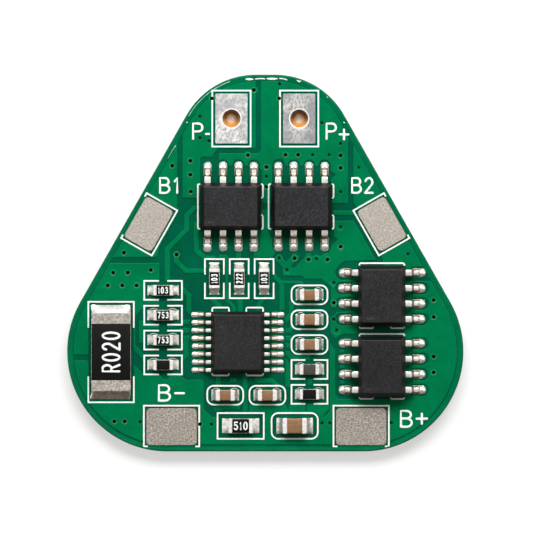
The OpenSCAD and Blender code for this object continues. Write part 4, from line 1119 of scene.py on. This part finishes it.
def glyph(char, x0, y0, x1, y1, width):
    """Strokes of a sign inside a box, in millimetres, with the ink's edge on the box."""
    i = width / 2
    return [[(x0 + i + (x1 - x0 - width) * u, y0 + i + (y1 - y0 - width) * v) for u, v in stroke]
            for stroke in GLYPHS[char]]


def word(text, length, height, width):
    """Strokes of a word about the middle, in millimetres. A one is half as wide as the other signs."""
    shares = [0.55 if char == "1" else 1.0 for char in text]
    gap_share = 0.24
    unit = length / (sum(shares) + gap_share * (len(text) - 1))
    strokes, x = [], -length / 2
    for char, share in zip(text, shares):
        strokes += glyph(char, x, -height / 2, x + share * unit, height / 2, width)
        x += (share + gap_share) * unit
    return strokes


def photo_sign(name, width_px, *boxes):
    """A sign on the board: each box is a character and its corners in the photograph."""
    width = width_px / PX_PER_MM
    strokes = []
    for char, x0, y0, x1, y1 in boxes:
        low, high = on_photo(x0, y1), on_photo(x1, y0)
        if char == "-":
            strokes += [[(low.x, (low.y + high.y) / 2), (high.x, (low.y + high.y) / 2)]]
        else:
            strokes += glyph(char, low.x, low.y, high.x, high.y, width)
    piece(name, ink_curve(strokes, width, LAND_Z + 0.008, 0.03), "legend_ink")


def make_signs():
    photo_sign("sign_p_minus", 2.2, ("P", 192, 122.5, 203.5, 140), ("-", 206, 130, 209, 138))
    photo_sign("sign_p_plus", 2.2, ("P", 325.5, 122.5, 337, 140), ("+", 338.5, 128.5, 349.5, 140.5))
    photo_sign("sign_b1", 2.2, ("B", 159, 177, 170.5, 194), ("1", 172.8, 177, 180.5, 194))
    photo_sign("sign_b2", 2.2, ("B", 351, 177, 362, 194), ("2", 364, 177, 373.8, 194))
    photo_sign("sign_b_minus", 2.3, ("B", 157.8, 384.1, 171.1, 401.9), ("-", 175.2, 390, 184, 396.6))
    photo_sign("sign_b_plus", 2.3, ("B", 399.8, 409.8, 412.9, 428), ("+", 415.5, 412.5, 428.1, 425.1))


def chip_code(node, code, length, height, width, turn):
    """Number code in the middle of a chip's overcoat, in millimetres."""
    low, high = node_box(node)
    middle = Vector(((low[0] + high[0]) / 2, (low[1] + high[1]) / 2))
    spin = Matrix.Rotation(turn, 2)
    strokes = [[tuple(middle + spin @ Vector(p)) for p in stroke] for stroke in word(code, length, height, width)]
    name = "code_" + node.replace("_body", "")
    piece(name, ink_curve(strokes, width, high[2], 0.02), "legend_ink")


def make_codes():
    up = math.pi / 2
    for i, code, length in ((1, "103", 0.84), (2, "753", 0.94), (3, "753", 0.94)):
        chip_code(f"resistor_{i}_body", code, length, 0.57, 0.10, 0.0)
    for i, code, length in ((5, "103", 0.78), (6, "222", 0.82), (7, "103", 0.78)):
        chip_code(f"resistor_{i}_body", code, length, 0.56, 0.10, up)
    chip_code("resistor_9_body", "510", 1.17, 0.72, 0.12, 0.0)
    chip_code("shunt_body", "R020", 3.37, 1.57, 0.19, up)


# Stage


def make_floor():
    bm = bmesh.new()
    bmesh.ops.create_grid(bm, x_segments=1, y_segments=1, size=0.6)
    mesh = bpy.data.meshes.new("floor")
    bm.to_mesh(mesh)
    bm.free()
    floor = bpy.data.objects.new("floor", mesh)
    floor.location.z = -0.00002
    bpy.context.scene.collection.objects.link(floor)
    look = Look("floor_paper", grey(0.94), roughness=0.9, specular=0.0)
    look.normal(look.relief(look.noise(1.2), 0.01))
    nodes = look.tree.nodes
    glow = nodes.new("ShaderNodeEmission")
    glow.inputs["Color"].default_value = grey(0.98)
    path = nodes.new("ShaderNodeLightPath")
    seen = look.math("MULTIPLY", path.outputs["Is Camera Ray"], FLOOR_GLOW_SHARE)
    blend = nodes.new("ShaderNodeMixShader")
    look.link(seen, blend.inputs["Fac"])
    look.link(look.shader.outputs["BSDF"], blend.inputs[1])
    look.link(glow.outputs["Emission"], blend.inputs[2])
    look.link(blend.outputs["Shader"], nodes["Material Output"].inputs["Surface"])
    mesh.materials.append(look.material)


def area_light(name, place, size, power, aim=(0, 0, 0)):
    data = bpy.data.lights.new(name, "AREA")
    data.shape = "RECTANGLE"
    data.size, data.size_y = size
    data.energy = power
    obj = bpy.data.objects.new(name, data)
    obj.location = place
    obj.rotation_euler = (Vector(aim) - Vector(place)).to_track_quat("-Z", "Y").to_euler()
    bpy.context.scene.collection.objects.link(obj)


def sky_ramp(tree, place, way, shift, *stops):
    """Colour of the surroundings along one direction."""
    lean = tree.nodes.new("ShaderNodeVectorMath")
    lean.operation = "DOT_PRODUCT"
    lean.inputs[1].default_value = way
    tree.links.new(place, lean.inputs[0])
    moved = tree.nodes.new("ShaderNodeMath")
    moved.inputs[1].default_value = shift
    tree.links.new(lean.outputs["Value"], moved.inputs[0])
    ramp = tree.nodes.new("ShaderNodeValToRGB")
    tree.links.new(moved.outputs[0], ramp.inputs["Fac"])
    while len(ramp.color_ramp.elements) < len(stops):
        ramp.color_ramp.elements.new(0.5)
    for element, (position, color) in zip(ramp.color_ramp.elements, stops):
        element.position = position
        element.color = color
    return ramp.outputs["Color"]


def make_light():
    area_light("key", (0.01, 0.17, 0.21), (0.26, 0.10), 0.95)
    area_light("left", (-0.30, 0.02, 0.16), (0.10, 0.26), 0.16)
    area_light("right", (0.30, 0.02, 0.16), (0.10, 0.26), 0.16)
    world = bpy.data.worlds.new("studio")
    world.use_nodes = True
    tree = world.node_tree
    place = tree.nodes.new("ShaderNodeTexCoord").outputs["Generated"]
    lit = sky_ramp(tree, place, (0.0, 0.5, -0.87), 0.87,
                   (0.0, (0.10, 0.09, 0.08, 1)), (0.35, (0.22, 0.20, 0.18, 1)), (0.62, grey(0.62)), (1.0, grey(0.95)))
    mirrored = sky_ramp(tree, place, (0.0, 0.5, 0.0), 0.5,
                        (0.0, (0.17, 0.14, 0.11, 1)), (0.14, (0.13, 0.10, 0.08, 1)),
                        (0.34, (0.22, 0.19, 0.16, 1)), (0.46, (0.78, 0.75, 0.71, 1)), (0.58, grey(1.0)))
    path = tree.nodes.new("ShaderNodeLightPath")
    blend = tree.nodes.new("ShaderNodeMix")
    blend.data_type = "RGBA"
    sockets = {socket.identifier: socket for socket in blend.inputs}
    tree.links.new(path.outputs["Is Glossy Ray"], sockets["Factor_Float"])
    tree.links.new(lit, sockets["A_Color"])
    tree.links.new(mirrored, sockets["B_Color"])
    out = {socket.identifier: socket for socket in blend.outputs}["Result_Color"]
    seen = tree.nodes.new("ShaderNodeMix")
    seen.data_type = "RGBA"
    sockets = {socket.identifier: socket for socket in seen.inputs}
    tree.links.new(path.outputs["Is Camera Ray"], sockets["Factor_Float"])
    tree.links.new(out, sockets["A_Color"])
    sockets["B_Color"].default_value = grey(1.0)
    out = {socket.identifier: socket for socket in seen.outputs}["Result_Color"]
    tree.links.new(out, tree.nodes["Background"].inputs["Color"])
    tree.nodes["Background"].inputs["Strength"].default_value = 1.0
    bpy.context.scene.world = world


def make_camera():
    data = bpy.data.cameras.new("camera")
    data.type = "ORTHO"
    data.ortho_scale = PHOTO_PX / PX_PER_MM * MM
    data.clip_start = 0.01
    data.clip_end = 2.0
    middle = on_photo(PHOTO_PX / 2, PHOTO_PX / 2) * MM
    obj = bpy.data.objects.new("camera", data)
    obj.location = (middle.x, middle.y, 0.4)
    bpy.context.scene.collection.objects.link(obj)
    bpy.context.scene.camera = obj


def set_color():
    bpy.context.scene.view_settings.view_transform = "Standard"


set_color()
make_camera()
make_floor()
make_light()
dress_nodes()
make_capacitors()
make_resistors()
make_packages()
make_leads()
make_chip_solder()
make_vias()
make_linings()
make_rims()
make_margin()
make_flecks()
make_signs()
make_codes()
